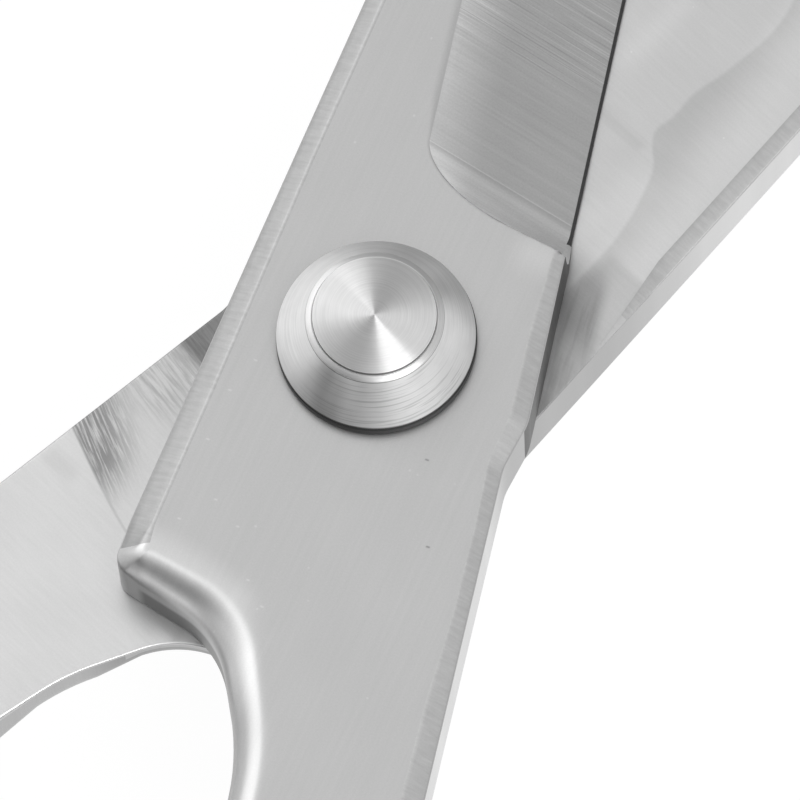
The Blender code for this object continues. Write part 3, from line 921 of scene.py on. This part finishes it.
def past_line(tree, across, along, points, soft, low, high, shift=0.0):
    """Brightness that goes from low to high where across passes a bent line x(y), shifted."""
    first, last = points[0][0], points[-1][0]
    line = add(tree, "FloatCurve", {}, {"Value": ramp(tree, along, first, last)})
    curve = line.mapping.curves[0]
    for k, (y, x) in enumerate(points):
        place = ((y - first) / (last - first), 0.5 + (x + shift) / CURVE_SPAN)
        if k in (0, len(points) - 1):
            curve.points[0 if k == 0 else -1].location = place
        else:
            curve.points.new(*place)
    line.mapping.update()
    back = {"operation": "MULTIPLY_ADD", 1: -CURVE_SPAN, 2: CURVE_SPAN / 2}
    over = joined(tree, "ADD", [across, add(tree, "Math", back, {0: line.outputs[0]}).outputs[0]])
    return ramp(tree, over, -soft, soft, low, high, SMOOTH)


def beside_line(tree, across, along, points, soft, half):
    """Masks that together are one in a narrow band on both sides of a bent line."""
    return [past_line(tree, across, along, points, soft, 0.0, 1.0, -half),
            past_line(tree, across, along, points, soft, 1.0, 0.0, half)]


def between(tree, value, low, high, soft):
    """Mask that is one from low to high, with soft ends."""
    up = ramp(tree, value, low - soft, low + soft, kind=SMOOTH)
    down = ramp(tree, value, high + soft, high - soft, kind=SMOOTH)
    return joined(tree, "MULTIPLY", [up, down])


def where_all(tree, masks, tone):
    """Brightness that is the tone where every mask is one, and one elsewhere."""
    return ramp(tree, joined(tree, "MULTIPLY", masks), 0.0, 1.0, 1.0, tone)


def zones(tree, rows):
    """One brightness for each row of masks and their tone."""
    return [where_all(tree, masks, tone) for masks, tone in rows]


def box(tree, x, y, across, along):
    """Masks of a rectangle, with its low end, high end and softness each way."""
    return [between(tree, x, *across), between(tree, y, *along)]


def patches(tree, x, y, rows):
    """One brightness for each soft rectangle and its tone."""
    return [where_all(tree, box(tree, x, y, across, along), tone) for across, along, tone in rows]


def specks(tree, mm, pitch, radius, share, tone):
    """Small pits or grains: about one to a pitch, in some of the cells, as a brightness."""
    cells = add(tree, "TexVoronoi", {"Scale": 1 / pitch}, {"Vector": mm}).outputs
    some = add(tree, "Math", {"operation": "LESS_THAN", 1: share}, {0: cells["Color"]}).outputs[0]
    return where_all(tree, [some, ramp(tree, cells["Distance"], radius / pitch, 0.4 * radius / pitch)], tone)


def strokes(tree, mm, angle, length, spacing, low, high):
    """Mask of separate strokes: noise drawn out along a direction, cut between two levels."""
    return ramp(tree, grit_lines(tree, mm, angle, length, spacing, 0.1)[1], low, high)


def upright(tree, low, high):
    """Mask of the surface's slope: zero at the low and one at the high value of the normal's z."""
    normal = add(tree, "NewGeometry").outputs["Normal"]
    size = add(tree, "Math", {"operation": "ABSOLUTE"}, {0: axis(tree, normal, 2)}).outputs[0]
    return ramp(tree, size, low, high, kind=SMOOTH)


def surface(tree, colour, factors, heights, micrometres, settings, tangent=None):
    """Shader of a colour times every brightness, with a bump of a given full height."""
    whole = joined(tree, "MULTIPLY", factors)
    tone = add(tree, "VectorMath", {"operation": "SCALE", 0: colour[:3]}, {"Scale": whole})
    bump = {"Strength": 1.0, "Distance": micrometres * 1e-6}
    normal = add(tree, "Bump", bump, {"Height": joined(tree, "ADD", heights)})
    links = {"Base Color": tone.outputs[0], "Normal": normal.outputs[0]}
    if tangent:
        links["Tangent"] = tangent
    shader = add(tree, "BsdfPrincipled", settings, links)
    add(tree, "OutputMaterial", {}, {"Surface": shader.outputs[0]})


def metal(roughness, anisotropic=0.0, turn=0.0):
    return {"Metallic": 1.0, "Roughness": roughness, "Anisotropic": anisotropic,
            "Anisotropic Rotation": turn}


def satin_stainless(look):
    """Forged martensitic stainless, glass blasted and lightly brushed: an even pale grey.

    On the rounded edges of the throat a bright line is painted by slope as a highlight;
    the steep side is painted darker, darkest next to the shear plane, as painted shade.
    """
    mat, tree, mm, x, y = plan_material("blasted_satin_stainless")
    # Brush lines along the shank, 0.25 mm apart and 9 mm long, and blasting dimples of 0.09 mm
    brush, lines = grit_lines(tree, mm, 90 - SHANK_LEAN, 9.0, 0.25, 0.02)
    dimples, grain = grit_lines(tree, mm, 0.0, 0.09, 0.09, 0.025, 1.0)
    height = axis(tree, piece_millimetres(tree), 2)
    wall = upright(tree, 0.5, 0.2)
    inside = box(tree, x, y, (-40.0, 5.5, 0.5), (-120.0, -13.3, 0.6))
    crotch = box(tree, x, y, (-7.3, 5.5, 0.3), (-20.0, -12.0, 1.6))
    # Painted glint on the flat plate next to the throat's upper edge, below this bent line
    border = [(-9.0, -12.8), (-2.5, -14.3), (-0.5, -15.4), (1.0, -17.5)]
    beside = box(tree, x, y, (-9.6, -1.4, 1.2), (-19.0, -10.0, 0.5))
    beside += [past_line(tree, y, x, border, 0.9, 1.0, 0.0), upright(tree, 0.93, 0.99)]
    # Painted shade on the walls: near the shear plane in the crotch, and on the rear half's wall in the
    # throat
    joint_shade = between(tree, height, Z_JOINT, Z_JOINT + 2.1, 0.3)
    under = [between(tree, height, 0.0, Z_JOINT, 0.1), between(tree, y, -20.8, -12.0, 1.2)]
    factors = [brush, dimples, cloudy(tree, mm, 5.0, 0.012)]
    # Painted highlight on the rounded edge, from its gentlest to its steepest slope, and painted shade on
    # its steep side; then a painted glint on the plate and painted shade on the walls by the joint
    factors += zones(tree, [
        ([upright(tree, 0.9995, 0.965)] + inside, 1.33),
        ([upright(tree, 0.9998, 0.98)] + crotch, 1.15),
        ([upright(tree, 0.90, 0.80)] + crotch, 1.08),
        ([upright(tree, 0.60, 0.40)] + crotch, 0.78),
        ([upright(tree, 0.60, 0.30)] + inside, 0.72),
        (beside, 1.2),
        ([wall, joint_shade] + crotch, 0.42),
        ([wall, inside[0]] + under, 0.72),
    ])
    # Painted highlight on the plate next to the choil
    factors += patches(tree, x, y, [((5.2, 7.4, 0.9), (5.9, 7.6, 0.9), 1.13)])
    for places, half, tone in ((PITS, 0.10, 0.5), (NICKS, 0.09, 1.2)):
        rows = [((a - half, a + half, 0.05), (b - 0.04, b + 0.04, 0.05), tone) for a, b in places]
        factors += patches(tree, x, y, rows)
    factors += [specks(tree, mm, 1.3, 0.09, 0.5, 1.14), specks(tree, mm, 7.3, 0.12, 0.5, 0.55)]
    surface(tree, look.satin, factors, [lines, grain], 1.5, metal(0.40))
    return mat


def side_stainless(look):
    """Ground sides of the shank and the spine: brighter, with lines along them."""
    mat, tree, mm, x, y = plan_material("side_ground_stainless")
    # Lines along the side, 0.2 mm apart and 5 mm long
    lines, height = grit_lines(tree, mm, 90.0, 5.0, 0.2, 0.03)
    # Painted shade: the spine's side is darker below y = 14, so lighter toward the tip, and the joint's side
    # is darker near the jog
    spine_side_shade = ((-30.0, 0.0, 0.5), (-30.0, 14.0, 6.0), 0.62)
    joint_side_shade = ((2.0, 30.0, 0.5), (-5.8, 9.0, 2.4), 0.62)
    factors = [lines, cloudy(tree, mm, 3.0, 0.03)] + patches(tree, x, y, [spine_side_shade, joint_side_shade])
    surface(tree, look.side, factors, [height], 1.5, metal(0.38))
    return mat


def linished_stainless(look):
    """Chamfers dressed by hand on a belt: duller, with short marks straight across."""
    mat, tree, mm, x, y = plan_material("linished_stainless")
    # Belt marks 0.2 mm apart and 1.2 mm long
    marks, height = grit_lines(tree, mm, -6.0, 1.2, 0.2, 0.08)
    dimples, grain = grit_lines(tree, mm, 0.0, 0.1, 0.1, 0.02, 1.0)
    # Painted shade on the spine's chamfers and a painted highlight on the joint's, split at x = 0
    side_shade_and_light = past_line(tree, x, y, [(-60.0, 0.0), (60.0, 0.0)], 1.0, 0.89, 1.08)
    # Painted shade on the chamfers within a millimetre below the joint plane
    level = axis(tree, piece_millimetres(tree), 2)
    inner = where_all(tree, [between(tree, level, Z_JOINT - 1.0, Z_JOINT, 0.04)], 0.98)
    factors = [marks, dimples, side_shade_and_light, inner, cloudy(tree, mm, 3.0, 0.02)]
    surface(tree, look.chamfer, factors, [height, grain], 3.0, metal(0.42))
    return mat


def cross_ground_stainless(look):
    """Ground straight across the blade on a coarse belt: darker, with long parallel lines.

    Where the wheel ran out toward the joint, its round edge has left a hollow, painted paler as a highlight.
    """
    mat, tree, mm, x, y = plan_material("cross_ground_stainless")
    # Belt lines 0.14 mm apart and 9 mm long, over broader ones 0.5 mm apart
    fine, height = grit_lines(tree, mm, -RUNOUT_SKEW, 9.0, 0.14, 0.05, 6.0)
    broad = grit_lines(tree, mm, -RUNOUT_SKEW, 20.0, 0.5, 0.03, 2.0)[0]
    dimples, grain = grit_lines(tree, mm, 0.0, 0.1, 0.1, 0.04, 1.0)
    skew = math.tan(math.radians(RUNOUT_SKEW))
    line = [(a, RUNOUT_AT + (edge_x(RUNOUT_AT) - a) * skew) for a in (-6.0, 10.0)]
    # Toward its border with the plate the bevel is painted paler as a highlight; a bundle of deep lines
    # crosses it
    border = [(a, edge_x(a) - BEVEL_WIDTH + 1.3) for a in (4.0, 60.0)]
    bundle = between(tree, y, 17.2, 22.5, 1.0)
    factors = [fine, broad, dimples, cloudy(tree, mm, 4.0, 0.04),
               # Painted highlights: the wheel's hollow past the crease, in two steps, and the border with
               # the plate
               past_line(tree, y, x, line, 0.3, 1.62, 1.0, -0.3),
               past_line(tree, y, x, line, 1.0, 1.5, 1.0, -1.6),
               past_line(tree, x, y, border, 1.6, 1.42, 1.0)]
    factors += zones(tree, [
        # A painted bright line along the crease
        (beside_line(tree, y, x, line, 0.03, 0.03), 1.25),
        ([bundle, strokes(tree, mm, -RUNOUT_SKEW, 10.0, 0.11, 0.54, 0.66)], 1.24),
        ([bundle, strokes(tree, mm, -RUNOUT_SKEW, 9.0, 0.13, 0.47, 0.36)], 0.8),
    ])
    tangent = add(tree, "Tangent", {"direction_type": "UV_MAP", "uv_map": "blank"}).outputs[0]
    surface(tree, look.bevel, factors, [height, grain], 2.0, metal(0.42, 0.4, QUARTER_TURN), tangent)
    return mat


def hollow_ground_stainless(look):
    """Inner faces, ground across on a wheel and smoothed by hand: brighter, with soft zones of painted
    reflection and painted shade.
    """
    mat, tree, mm, x, y = plan_material("hollow_ground_stainless")
    # Wheel lines across the blade, 0.18 mm apart and 2.5 mm long
    wheel, lines = grit_lines(tree, mm, 0.0, 2.5, 0.18, 0.025)
    dimples, grain = grit_lines(tree, mm, 0.0, 0.1, 0.1, 0.02, 1.0)
    factors = [wheel, dimples, cloudy(tree, mm, 4.0, 0.02), specks(tree, mm, 2.3, 0.07, 0.4, 1.15)]
    # Painted reflection of the face's waves: darker past a wavy border, given as y and x along the blade,
    # with a bright band toward the spine; the shank is lighter
    border = [(8.0, -3.7), (12.2, -3.64), (14.1, -3.41), (16.4, -2.72), (17.7, -2.09), (18.4, -1.33),
              (19.1, -0.83), (20.3, -0.91), (22.1, -0.79), (23.6, -1.05), (25.4, -1.22), (26.8, -1.3),
              (28.3, -1.11), (31.0, -0.2), (36.0, 1.2)]
    factors += [past_line(tree, x, y, border, 0.16, 0.85, 1.0),
                past_line(tree, x, y, [(8.0, -5.1), (40.0, 0.3)], 1.7, 1.26, 1.0),
                past_line(tree, y, x, [(-9.0, -11.0), (9.0, -11.0)], 3.0, 1.1, 1.0)]
    # Painted shade next to the front half's wall by the joint, with a slanting border and streaks along it
    slant = past_line(tree, x, y, [(2.0, -10.2), (8.6, -6.6), (12.3, -4.5), (15.0, -3.0)], 0.5, 0.0, 1.0)
    # The shank's marks are dark strokes that start at a crease across it
    crease = [(0.0, -15.6), (2.8, -15.0), (5.2, -14.3), (8.2, -13.2), (10.0, -12.5)]
    fading = [(a, b + 0.8 + 0.25 * a) for a, b in crease]
    marks = [past_line(tree, y, x, crease, 0.12, 0.0, 1.0), past_line(tree, y, x, fading, 1.6, 1.0, 0.0),
             between(tree, x, 5.2, 20.0, 1.5), strokes(tree, mm, 22.0, 1.9, 0.12, 0.30, 0.54)]
    # Beside the joint's spine, fine strokes lie along the rim
    rim = box(tree, x, y, (5.6, 20.0, 1.4), (-9.6, -4.0, 1.2))
    rim.append(strokes(tree, mm, 8.0, 2.5, 0.2, 0.4, 0.6))
    factors += zones(tree, [
        ([slant, between(tree, y, 8.0, 11.5, 0.9)], 0.68),
        ([slant, between(tree, y, 0.0, 8.0, 0.9)], 0.88),
        ([slant, between(tree, y, 0.0, 10.5, 0.9), strokes(tree, mm, 61.0, 5.0, 0.5, 0.45, 0.6)], 0.86),
        (marks, 0.42),
        (beside_line(tree, y, x, crease, 0.06, 0.07), 0.84),
        (rim, 0.72),
    ])
    # Painted shade where the hollow starts, a painted dark tongue, a painted bright lobe and gleam, a smudge
    # on the shank, and painted shade by the jog
    factors += patches(tree, x, y, [
        ((-9.0, -3.9, 0.4), (0.0, 12.7, 0.3), 0.84),
        ((-1.0, 2.6, 0.3), (17.7, 18.3, 0.3), 0.92),
        ((-3.2, -1.4, 0.9), (12.6, 17.4, 0.9), 1.06),
        ((2.5, 3.6, 0.6), (20.5, 25.5, 0.6), 1.06),
        ((6.9, 8.9, 0.4), (-15.2, -14.3, 0.4), 0.92),
        ((6.1, 20.0, 0.4), (-6.1, 2.0, 0.4), 0.42),
    ])
    surface(tree, look.inner, factors, [lines, grain], 1.5, metal(0.36))
    return mat


def skin_and_shade(look):
    """The joint's unground side keeps the matt, dark skin of the forging, made darker as painted shade for
    the gap between the halves.
    """
    mat, tree, mm = plan_material("oxide_skin_and_painted_shade")[:3]
    # Scale grain of 0.3 mm
    scale, grain = grit_lines(tree, mm, 0.0, 0.3, 0.3, 0.15, 3.0)
    surface(tree, look.skin, [scale], [grain], 3.0, metal(0.45))
    return mat


def turned_stainless(look, name, roughness, spread, crown):
    """Stainless bar turned on a lathe: bright, with rings that draw light out in wedges.

    The head's end is faced slightly crowned, by so many times five micrometres, and its
    shoulder is cut with a coarser, duller feed. Its steep faces and one side of the cone are painted darker
    as shade.
    """
    mat, tree = blank_material(name)
    mm = piece_millimetres(tree)
    plan = add(tree, "VectorMath", {"operation": "MULTIPLY", 1: (1, 1, 0)}, {0: mm}).outputs[0]
    radius = add(tree, "VectorMath", {"operation": "LENGTH"}, {0: plan}).outputs["Value"]
    # Tool rings 0.07 mm apart, which wander a little; real feed marks are finer and would not show
    count = add(tree, "CombineXYZ", {}, {0: times(tree, radius, 14.0)}).outputs[0]
    place = add(tree, "VectorMath", {"operation": "ADD"}, {0: count, 1: scaled(tree, mm, 0.35)}).outputs[0]
    rings = add(tree, "TexNoise", {"Scale": 1.0, "Detail": 3.0}, {"Vector": place}).outputs[0]
    x, y = axis(tree, mm, 0), axis(tree, mm, 1)
    # One side of the cone, which is painted darker as shade
    side = facing(tree, mm, (0.68, -0.73, 0))
    shaded_side = [between(tree, radius, 3.5, 5.2, 0.05), between(tree, side, 2.2, 6.0, 1.6)]
    factors = [ramp(tree, rings, NOISE_LOW, NOISE_HIGH, 0.93, 1.05), cloudy(tree, mm, 1.2, 0.03)]
    # Painted shade on the steep faces, as at the rim, then the shoulder and the end, then painted shade on
    # one side of the cone, darker on some of its rings, and a painted dark streak
    factors += zones(tree, [
        ([upright(tree, 0.45, 0.2)], 0.3),
        ([between(tree, radius, 3.17, 3.44, 0.02)], 0.76),
        ([between(tree, radius, -1.0, 3.1, 0.02), upright(tree, 0.97, 0.99)], 0.82),
        (shaded_side, 0.92),
        (shaded_side + [ramp(tree, rings, 0.52, 0.64)], 0.72),
        (box(tree, x, y, (-0.75, 0.65, 0.45), (-5.3, -3.5, 0.15)), 0.8),
    ])
    crowned = ramp(tree, radius, 0.0, 3.05, 0.0, -crown)
    tangent = add(tree, "Tangent", {"direction_type": "RADIAL", "axis": "Z"}).outputs[0]
    shine = metal(roughness, spread, QUARTER_TURN)
    surface(tree, look.bolt, factors, [rings, crowned], 5.0, shine, tangent)
    return mat


def plain_metal(name, colour, roughness, grain_size):
    """Small hardware: one metal with a grain of a given size in millimetres."""
    mat, tree = blank_material(name)
    mm = piece_millimetres(tree)
    tone, grain = grit_lines(tree, mm, 0.0, grain_size, grain_size, 0.06, 3.0)
    surface(tree, colour, [tone, cloudy(tree, mm, 2.0, 0.04)], [grain], 2.0, metal(roughness))
    return mat


def plain_polymer(name, colour, roughness, grain_size):
    """Punched or moulded polymer sheet with a slight grain."""
    mat, tree = blank_material(name)
    tone, grain = grit_lines(tree, piece_millimetres(tree), 0.0, grain_size, grain_size, 0.08, 3.0)
    surface(tree, colour, [tone], [grain], 2.0, {"Roughness": roughness, "IOR": 1.5})
    return mat


# Properties and operators

def colour_property(label, about, hex_colour):
    return bpy.props.FloatVectorProperty(name=label, description=about, default=linear(hex_colour), size=4,
                                         subtype="COLOR", min=0.0, max=1.0)


class ScissorSizes(bpy.types.PropertyGroup):
    """Sizes that a user may change."""
    softness: bpy.props.FloatProperty(name="Edge softness", default=0.08, min=0.02, max=0.4,
                                      description="Easing of a chamfer's outer corner, in mm")
    groove: bpy.props.FloatProperty(name="Head groove", default=0.04, min=0.0, max=0.3,
                                    description="Depth of the groove round the head's flat, in mm")


class ScissorLook(bpy.types.PropertyGroup):
    """Colours of the finishes."""
    satin: colour_property("Satin", "Blasted outer faces", "B6B6B6")
    chamfer: colour_property("Chamfer", "Hand dressed chamfers", "B4B4B4")
    bevel: colour_property("Bevel", "Cross-ground bevel", "A9A9A9")
    inner: colour_property("Inner face", "Hollow-ground inner faces", "C0C0C0")
    # Dark skin, made darker as painted shade for the gap between the halves
    skin: colour_property("Forging skin", "Unground sides of the joint", "545454")
    side: colour_property("Sides", "Ground sides of the shank and spine", "D9D9D9")
    bolt: colour_property("Bolt", "Turned bolt", "E9E9E9")
    # Black washer, whose dark ring under the head also stands in as painted shade
    nylon: colour_property("Head washer", "Black nylon washer", "161616")
    acetal: colour_property("Joint washer", "Natural acetal washer", "E2DFD6")
    bronze: colour_property("Bush", "Sintered bronze", "B98E56")
    washer: colour_property("Rear washer", "Stamped stainless", "C2C2C3")
    spring: colour_property("Spring washer", "Oiled spring steel", "8C8D90")
    nut: colour_property("Nut", "Cold-formed stainless", "C8C8C9")


# The finishes of a half, in the order of its face numbers
FINISHES = {
    "blasted_satin_stainless": satin_stainless,
    "linished_stainless": linished_stainless,
    "cross_ground_stainless": cross_ground_stainless,
    "hollow_ground_stainless": hollow_ground_stainless,
    "oxide_skin_and_painted_shade": skin_and_shade,
    "side_ground_stainless": side_stainless,
}


def dressed_half(context, name, bow, bore, shift, throat, turned_over):
    """Object of a half, with its finishes made if they aren't there yet."""
    made = bpy.data.materials
    look = context.scene.scissor_look
    finishes = [made[key] if key in made else make(look) for key, make in FINISHES.items()]
    shell = half_shell(bow, bore, shift, throat, context.scene.scissor_sizes.softness)
    return place_half(name, shell, turned_over, finishes)


class SCISSORS_OT_front_half(bpy.types.Operator):
    """Front half with the thumb bow"""
    bl_idname = "scissors.front_half"
    bl_label = "Front half"

    def execute(self, context):
        ob = dressed_half(context, "front_forging", THUMB_BOW, BUSH_RADIUS + PLAY, 0.0, FRONT_THROAT,
                          False)
        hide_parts("front_half")
        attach(ob, "front_body")
        return {"FINISHED"}


class SCISSORS_OT_rear_half(bpy.types.Operator):
    """Rear half with the finger bow"""
    bl_idname = "scissors.rear_half"
    bl_label = "Rear half"

    def execute(self, context):
        ob = dressed_half(context, "rear_forging", FINGER_BOW, BORE_RADIUS, REAR_JOG_SHIFT, REAR_THROAT,
                          True)
        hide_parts("rear_half")
        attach(ob, "rear_body")
        return {"FINISHED"}


def turned_bolt(look, groove):
    """Bolt whose head has a cone, a shoulder cut in steps and a faced end."""
    neck = Z_HEAD + HEAD_RIM + HEAD_CONE
    top = neck + HEAD_RING
    step = top - HEAD_STEP
    bolt = lathe("bolt_turned", [
        (0.0, 0.0, 0.0),
        (BOLT_RADIUS - BOLT_CHAMFER, 0.0, 0.05),
        (BOLT_RADIUS, BOLT_CHAMFER, 0.05),
        (BOLT_RADIUS, Z_HEAD, 0.05),
        (HEAD_RADIUS, Z_HEAD, 0.05),
        (HEAD_RADIUS, Z_HEAD + HEAD_RIM, 0.06),
        (HEAD_NECK_RADIUS + 0.08, neck - 0.06, 0.02),
        (HEAD_NECK_RADIUS + 0.05, neck + 0.05, 0.04),
        (HEAD_FLAT_RADIUS + 0.04, step, 0.03),
        (HEAD_FLAT_RADIUS, step - groove, 0.02),
        (HEAD_FLAT_RADIUS - 0.03, top - 0.06, 0.03),
        (0.0, top, 0.0),
    ], turned_stainless(look, "turned_stainless", 0.38, 0.7, 0.0))
    bolt.data.materials.append(turned_stainless(look, "faced_stainless", 0.40, 1.0, 85.0))
    for face in bolt.data.polygons:
        if face.center.z > (top - 0.07) * MM:
            face.material_index = 1
    return bolt


class SCISSORS_OT_pivot(bpy.types.Operator):
    """Bolt, washers, bush and nut of the pivot"""
    bl_idname = "scissors.pivot"
    bl_label = "Pivot"

    def execute(self, context):
        look = context.scene.scissor_look
        # Roughness, and size of grain in millimetres
        nylon = plain_polymer("black_nylon", look.nylon, 0.5, 0.2)
        acetal = plain_polymer("natural_acetal", look.acetal, 0.45, 0.3)
        bronze = plain_metal("sintered_bronze", look.bronze, 0.4, 0.08)
        stamped = plain_metal("stamped_stainless", look.washer, 0.33, 0.3)
        spring = plain_metal("oiled_spring_steel", look.spring, 0.38, 0.4)
        formed = plain_metal("cold_formed_stainless", look.nut, 0.32, 0.4)

        def ring(name, outer, low, thick, mat, ease, centre=(0.0, 0.0)):
            return lathe(name, ring_corners(BORE_RADIUS, outer, low, low + thick, ease), mat, centre)

        seat = Z_FRONT + SEAT_DEPTH
        split = ring_corners(BORE_RADIUS, BORE_RADIUS + SPRING_WASHER_WIDTH, Z_SPRING,
                             Z_SPRING + SPRING_WASHER, 0.08)
        # Each piece with its node, slot and body
        pieces = [
            (turned_bolt(look, context.scene.scissor_sizes.groove), "pivot_bolt", "bolt_steel", "rear_body"),
            # Black washer, a little wider than the head and set off toward the lower right, partly as
            # painted shade under the head
            (ring("washer_nylon", HEAD_WASHER_RADIUS + 0.08, Z_HEAD_WASHER, HEAD_WASHER, nylon, 0.08,
                  (0.03, -0.01)), "head_washer", "black_nylon", "rear_body"),
            (ring("bush_sleeve", BUSH_RADIUS, seat, Z_FRONT + PLATE - seat, bronze, 0.1),
             "pivot_bush", "bush_bronze", "front_body"),
            (ring("washer_acetal", JOINT_WASHER_RADIUS, Z_JOINT - JOINT_WASHER / 2, JOINT_WASHER, acetal,
                  0.05), "joint_washer", "joint_polymer", "rear_body"),
            (ring("washer_stamped", REAR_WASHER_RADIUS, Z_REAR_WASHER, REAR_WASHER, stamped, 0.1),
             "rear_washer", "washer_steel", "rear_body"),
            (split_ring("washer_split", split, SPRING_WASHER_SLOT, spring),
             "spring_washer", "spring_steel", "rear_body"),
            (hexagon_nut("nut_hexagon", formed), "pivot_nut", "nut_steel", "rear_body"),
        ]
        for ob, node, slot, body in pieces:
            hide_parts(node)
            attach(ob, body)
        return {"FINISHED"}


# The photograph's camera: a long lens, azimuth, elevation and roll in degrees

PICTURE_WIDTH = 800
PIXEL = 0.05
PIVOT_PIXEL = (376.4, 339.7)
CAMERA_DISTANCE = 420.0
CAMERA_AZIMUTH = 36.0
CAMERA_ELEVATION = 69.5
CAMERA_ROLL = -4.5


def camera_axes():
    az = math.radians(CAMERA_AZIMUTH)
    el = math.radians(CAMERA_ELEVATION)
    roll = math.radians(CAMERA_ROLL)
    back = Vector((math.sin(az) * math.cos(el), -math.cos(az) * math.cos(el), math.sin(el)))
    level = Vector((math.cos(az), math.sin(az), 0.0))
    above = back.cross(level)
    right = level * math.cos(roll) + above * math.sin(roll)
    up = above * math.cos(roll) - level * math.sin(roll)
    return back, right, up


def place_camera(scene):
    centre = Vector((0, 0, Z_FRONT + PLATE))
    back, right, up = camera_axes()
    middle = PICTURE_WIDTH / 2
    aside = right * (middle - PIVOT_PIXEL[0]) - up * (middle - PIVOT_PIXEL[1])
    eye = centre + back * CAMERA_DISTANCE
    forward = (centre + aside * PIXEL - eye).normalized()
    side = forward.cross(up).normalized()
    cam = bpy.data.cameras.new("camera")
    cam.lens = CAMERA_DISTANCE / (PICTURE_WIDTH * PIXEL) * cam.sensor_width
    cam.clip_start = 0.01
    cam.clip_end = 10.0
    ob = bpy.data.objects.new("camera", cam)
    turn = Matrix((side, side.cross(forward), -forward)).transposed().to_4x4()
    ob.matrix_world = Matrix.Translation(eye * MM) @ turn
    scene.collection.objects.link(ob)
    scene.camera = ob


# Soft boxes: direction from the pivot, distance and size in metres, and radiance
SOFT_BOXES = {
    "soft_box_left": ((-0.76, 0.14, 0.64), 0.9, 0.72, 1.2),
    "soft_box_right": ((0.58, -0.27, 0.77), 0.9, 0.5, 4.2),
    "soft_box_top": ((-0.16, 0.22, 0.96), 1.0, 0.5, 0.45),
}

# Dim spots of the surround: direction, cosines of the rim and of the core, and what is left there
DIM_SPOTS = (
    ((-0.12, -0.78, 0.61), 0.84, 0.96, 0.06),
    ((-0.20, 0.85, 0.49), 0.76, 0.97, 0.4),
)
FLOOR_REACH = 1.5


def soft_box(scene, name):
    """Area lamp whose power is worked out from its radiance and area."""
    direction, distance, size, radiance = SOFT_BOXES[name]
    lamp = bpy.data.lights.new(name, "AREA")
    lamp.size = size
    lamp.energy = radiance * math.pi * size ** 2
    ob = bpy.data.objects.new(name, lamp)
    ob.location = Vector(direction).normalized() * distance
    ob.rotation_euler = Vector(direction).to_track_quat("Z", "Y").to_euler()
    ob.visible_camera = False
    scene.collection.objects.link(ob)


def studio_sky(scene):
    """Pale surround that reflections see darker near the table and in the dim spots."""
    world = bpy.data.worlds.new("studio")
    scene.world = world
    world.use_nodes = True
    tree = world.node_tree
    tree.nodes.clear()
    way = add(tree, "TexCoord").outputs["Generated"]
    strength = [ramp(tree, axis(tree, way, 2), 0.05, 0.5, 0.50, 0.84, SMOOTH)]
    for direction, rim, core, left in DIM_SPOTS:
        strength.append(ramp(tree, facing(tree, way, direction), rim, core, 1.0, left, SMOOTH))
    camera = add(tree, "LightPath").outputs["Is Camera Ray"]
    white = joined(tree, "MAXIMUM", [joined(tree, "MULTIPLY", strength), camera])
    sky = add(tree, "Background", {"Color": (1, 1, 1, 1)}, {"Strength": white})
    add(tree, "OutputWorld", {}, {"Surface": sky.outputs[0]})


def paper_floor(scene):
    """White paper that the camera and reflections see nearly shadowless."""
    mesh = bpy.data.meshes.new("floor")
    corners = [(x * FLOOR_REACH, y * FLOOR_REACH, 0) for x, y in ((-1, -1), (1, -1), (1, 1), (-1, 1))]
    mesh.from_pydata(corners, [], [(0, 1, 2, 3)])
    floor = bpy.data.objects.new("floor", mesh)
    scene.collection.objects.link(floor)
    mat, tree = blank_material("white_paper")
    paths = add(tree, "LightPath").outputs
    kinds = ("Camera", "Glossy", "Transmission")
    seen = joined(tree, "MAXIMUM", [paths[f"Is {kind} Ray"] for kind in kinds])
    matt = add(tree, "BsdfDiffuse", {"Color": linear("F2F2F2")})
    glow = add(tree, "Emission", {"Color": (1, 1, 1, 1), "Strength": 1.03})
    mix = add(tree, "MixShader", {}, {0: times(tree, seen, 0.93), 1: matt.outputs[0], 2: glow.outputs[0]})
    add(tree, "OutputMaterial", {}, {"Surface": mix.outputs[0]})
    mesh.materials.append(mat)


class SCISSORS_OT_stage(bpy.types.Operator):
    """Pale floor, soft light and the camera"""
    bl_idname = "scissors.stage"
    bl_label = "Stage"

    def execute(self, context):
        scene = context.scene
        paper_floor(scene)
        studio_sky(scene)
        for name in SOFT_BOXES:
            soft_box(scene, name)
        place_camera(scene)
        scene.view_settings.view_transform = "Standard"
        return {"FINISHED"}


class SCISSORS_PT_panel(bpy.types.Panel):
    """Lists the pieces of the scissors"""
    bl_idname = "SCISSORS_PT_panel"
    bl_label = "Scissors"
    bl_space_type = "VIEW_3D"
    bl_region_type = "UI"
    bl_category = "Scissors"

    def draw(self, context):
        for name in ("front_half", "rear_half", "pivot", "stage"):
            self.layout.operator("scissors." + name)


CLASSES = (ScissorSizes, ScissorLook, SCISSORS_OT_front_half, SCISSORS_OT_rear_half, SCISSORS_OT_pivot,
           SCISSORS_OT_stage, SCISSORS_PT_panel)


def register():
    for cls in CLASSES:
        bpy.utils.register_class(cls)
    bpy.types.Scene.scissor_sizes = bpy.props.PointerProperty(type=ScissorSizes)
    bpy.types.Scene.scissor_look = bpy.props.PointerProperty(type=ScissorLook)


def unregister():
    del bpy.types.Scene.scissor_look
    del bpy.types.Scene.scissor_sizes
    for cls in reversed(CLASSES):
        bpy.utils.unregister_class(cls)


def main():
    register()
    bpy.ops.scissors.front_half()
    bpy.ops.scissors.rear_half()
    bpy.ops.scissors.pivot()
    bpy.ops.scissors.stage()


if __name__ == "__main__":
    main()
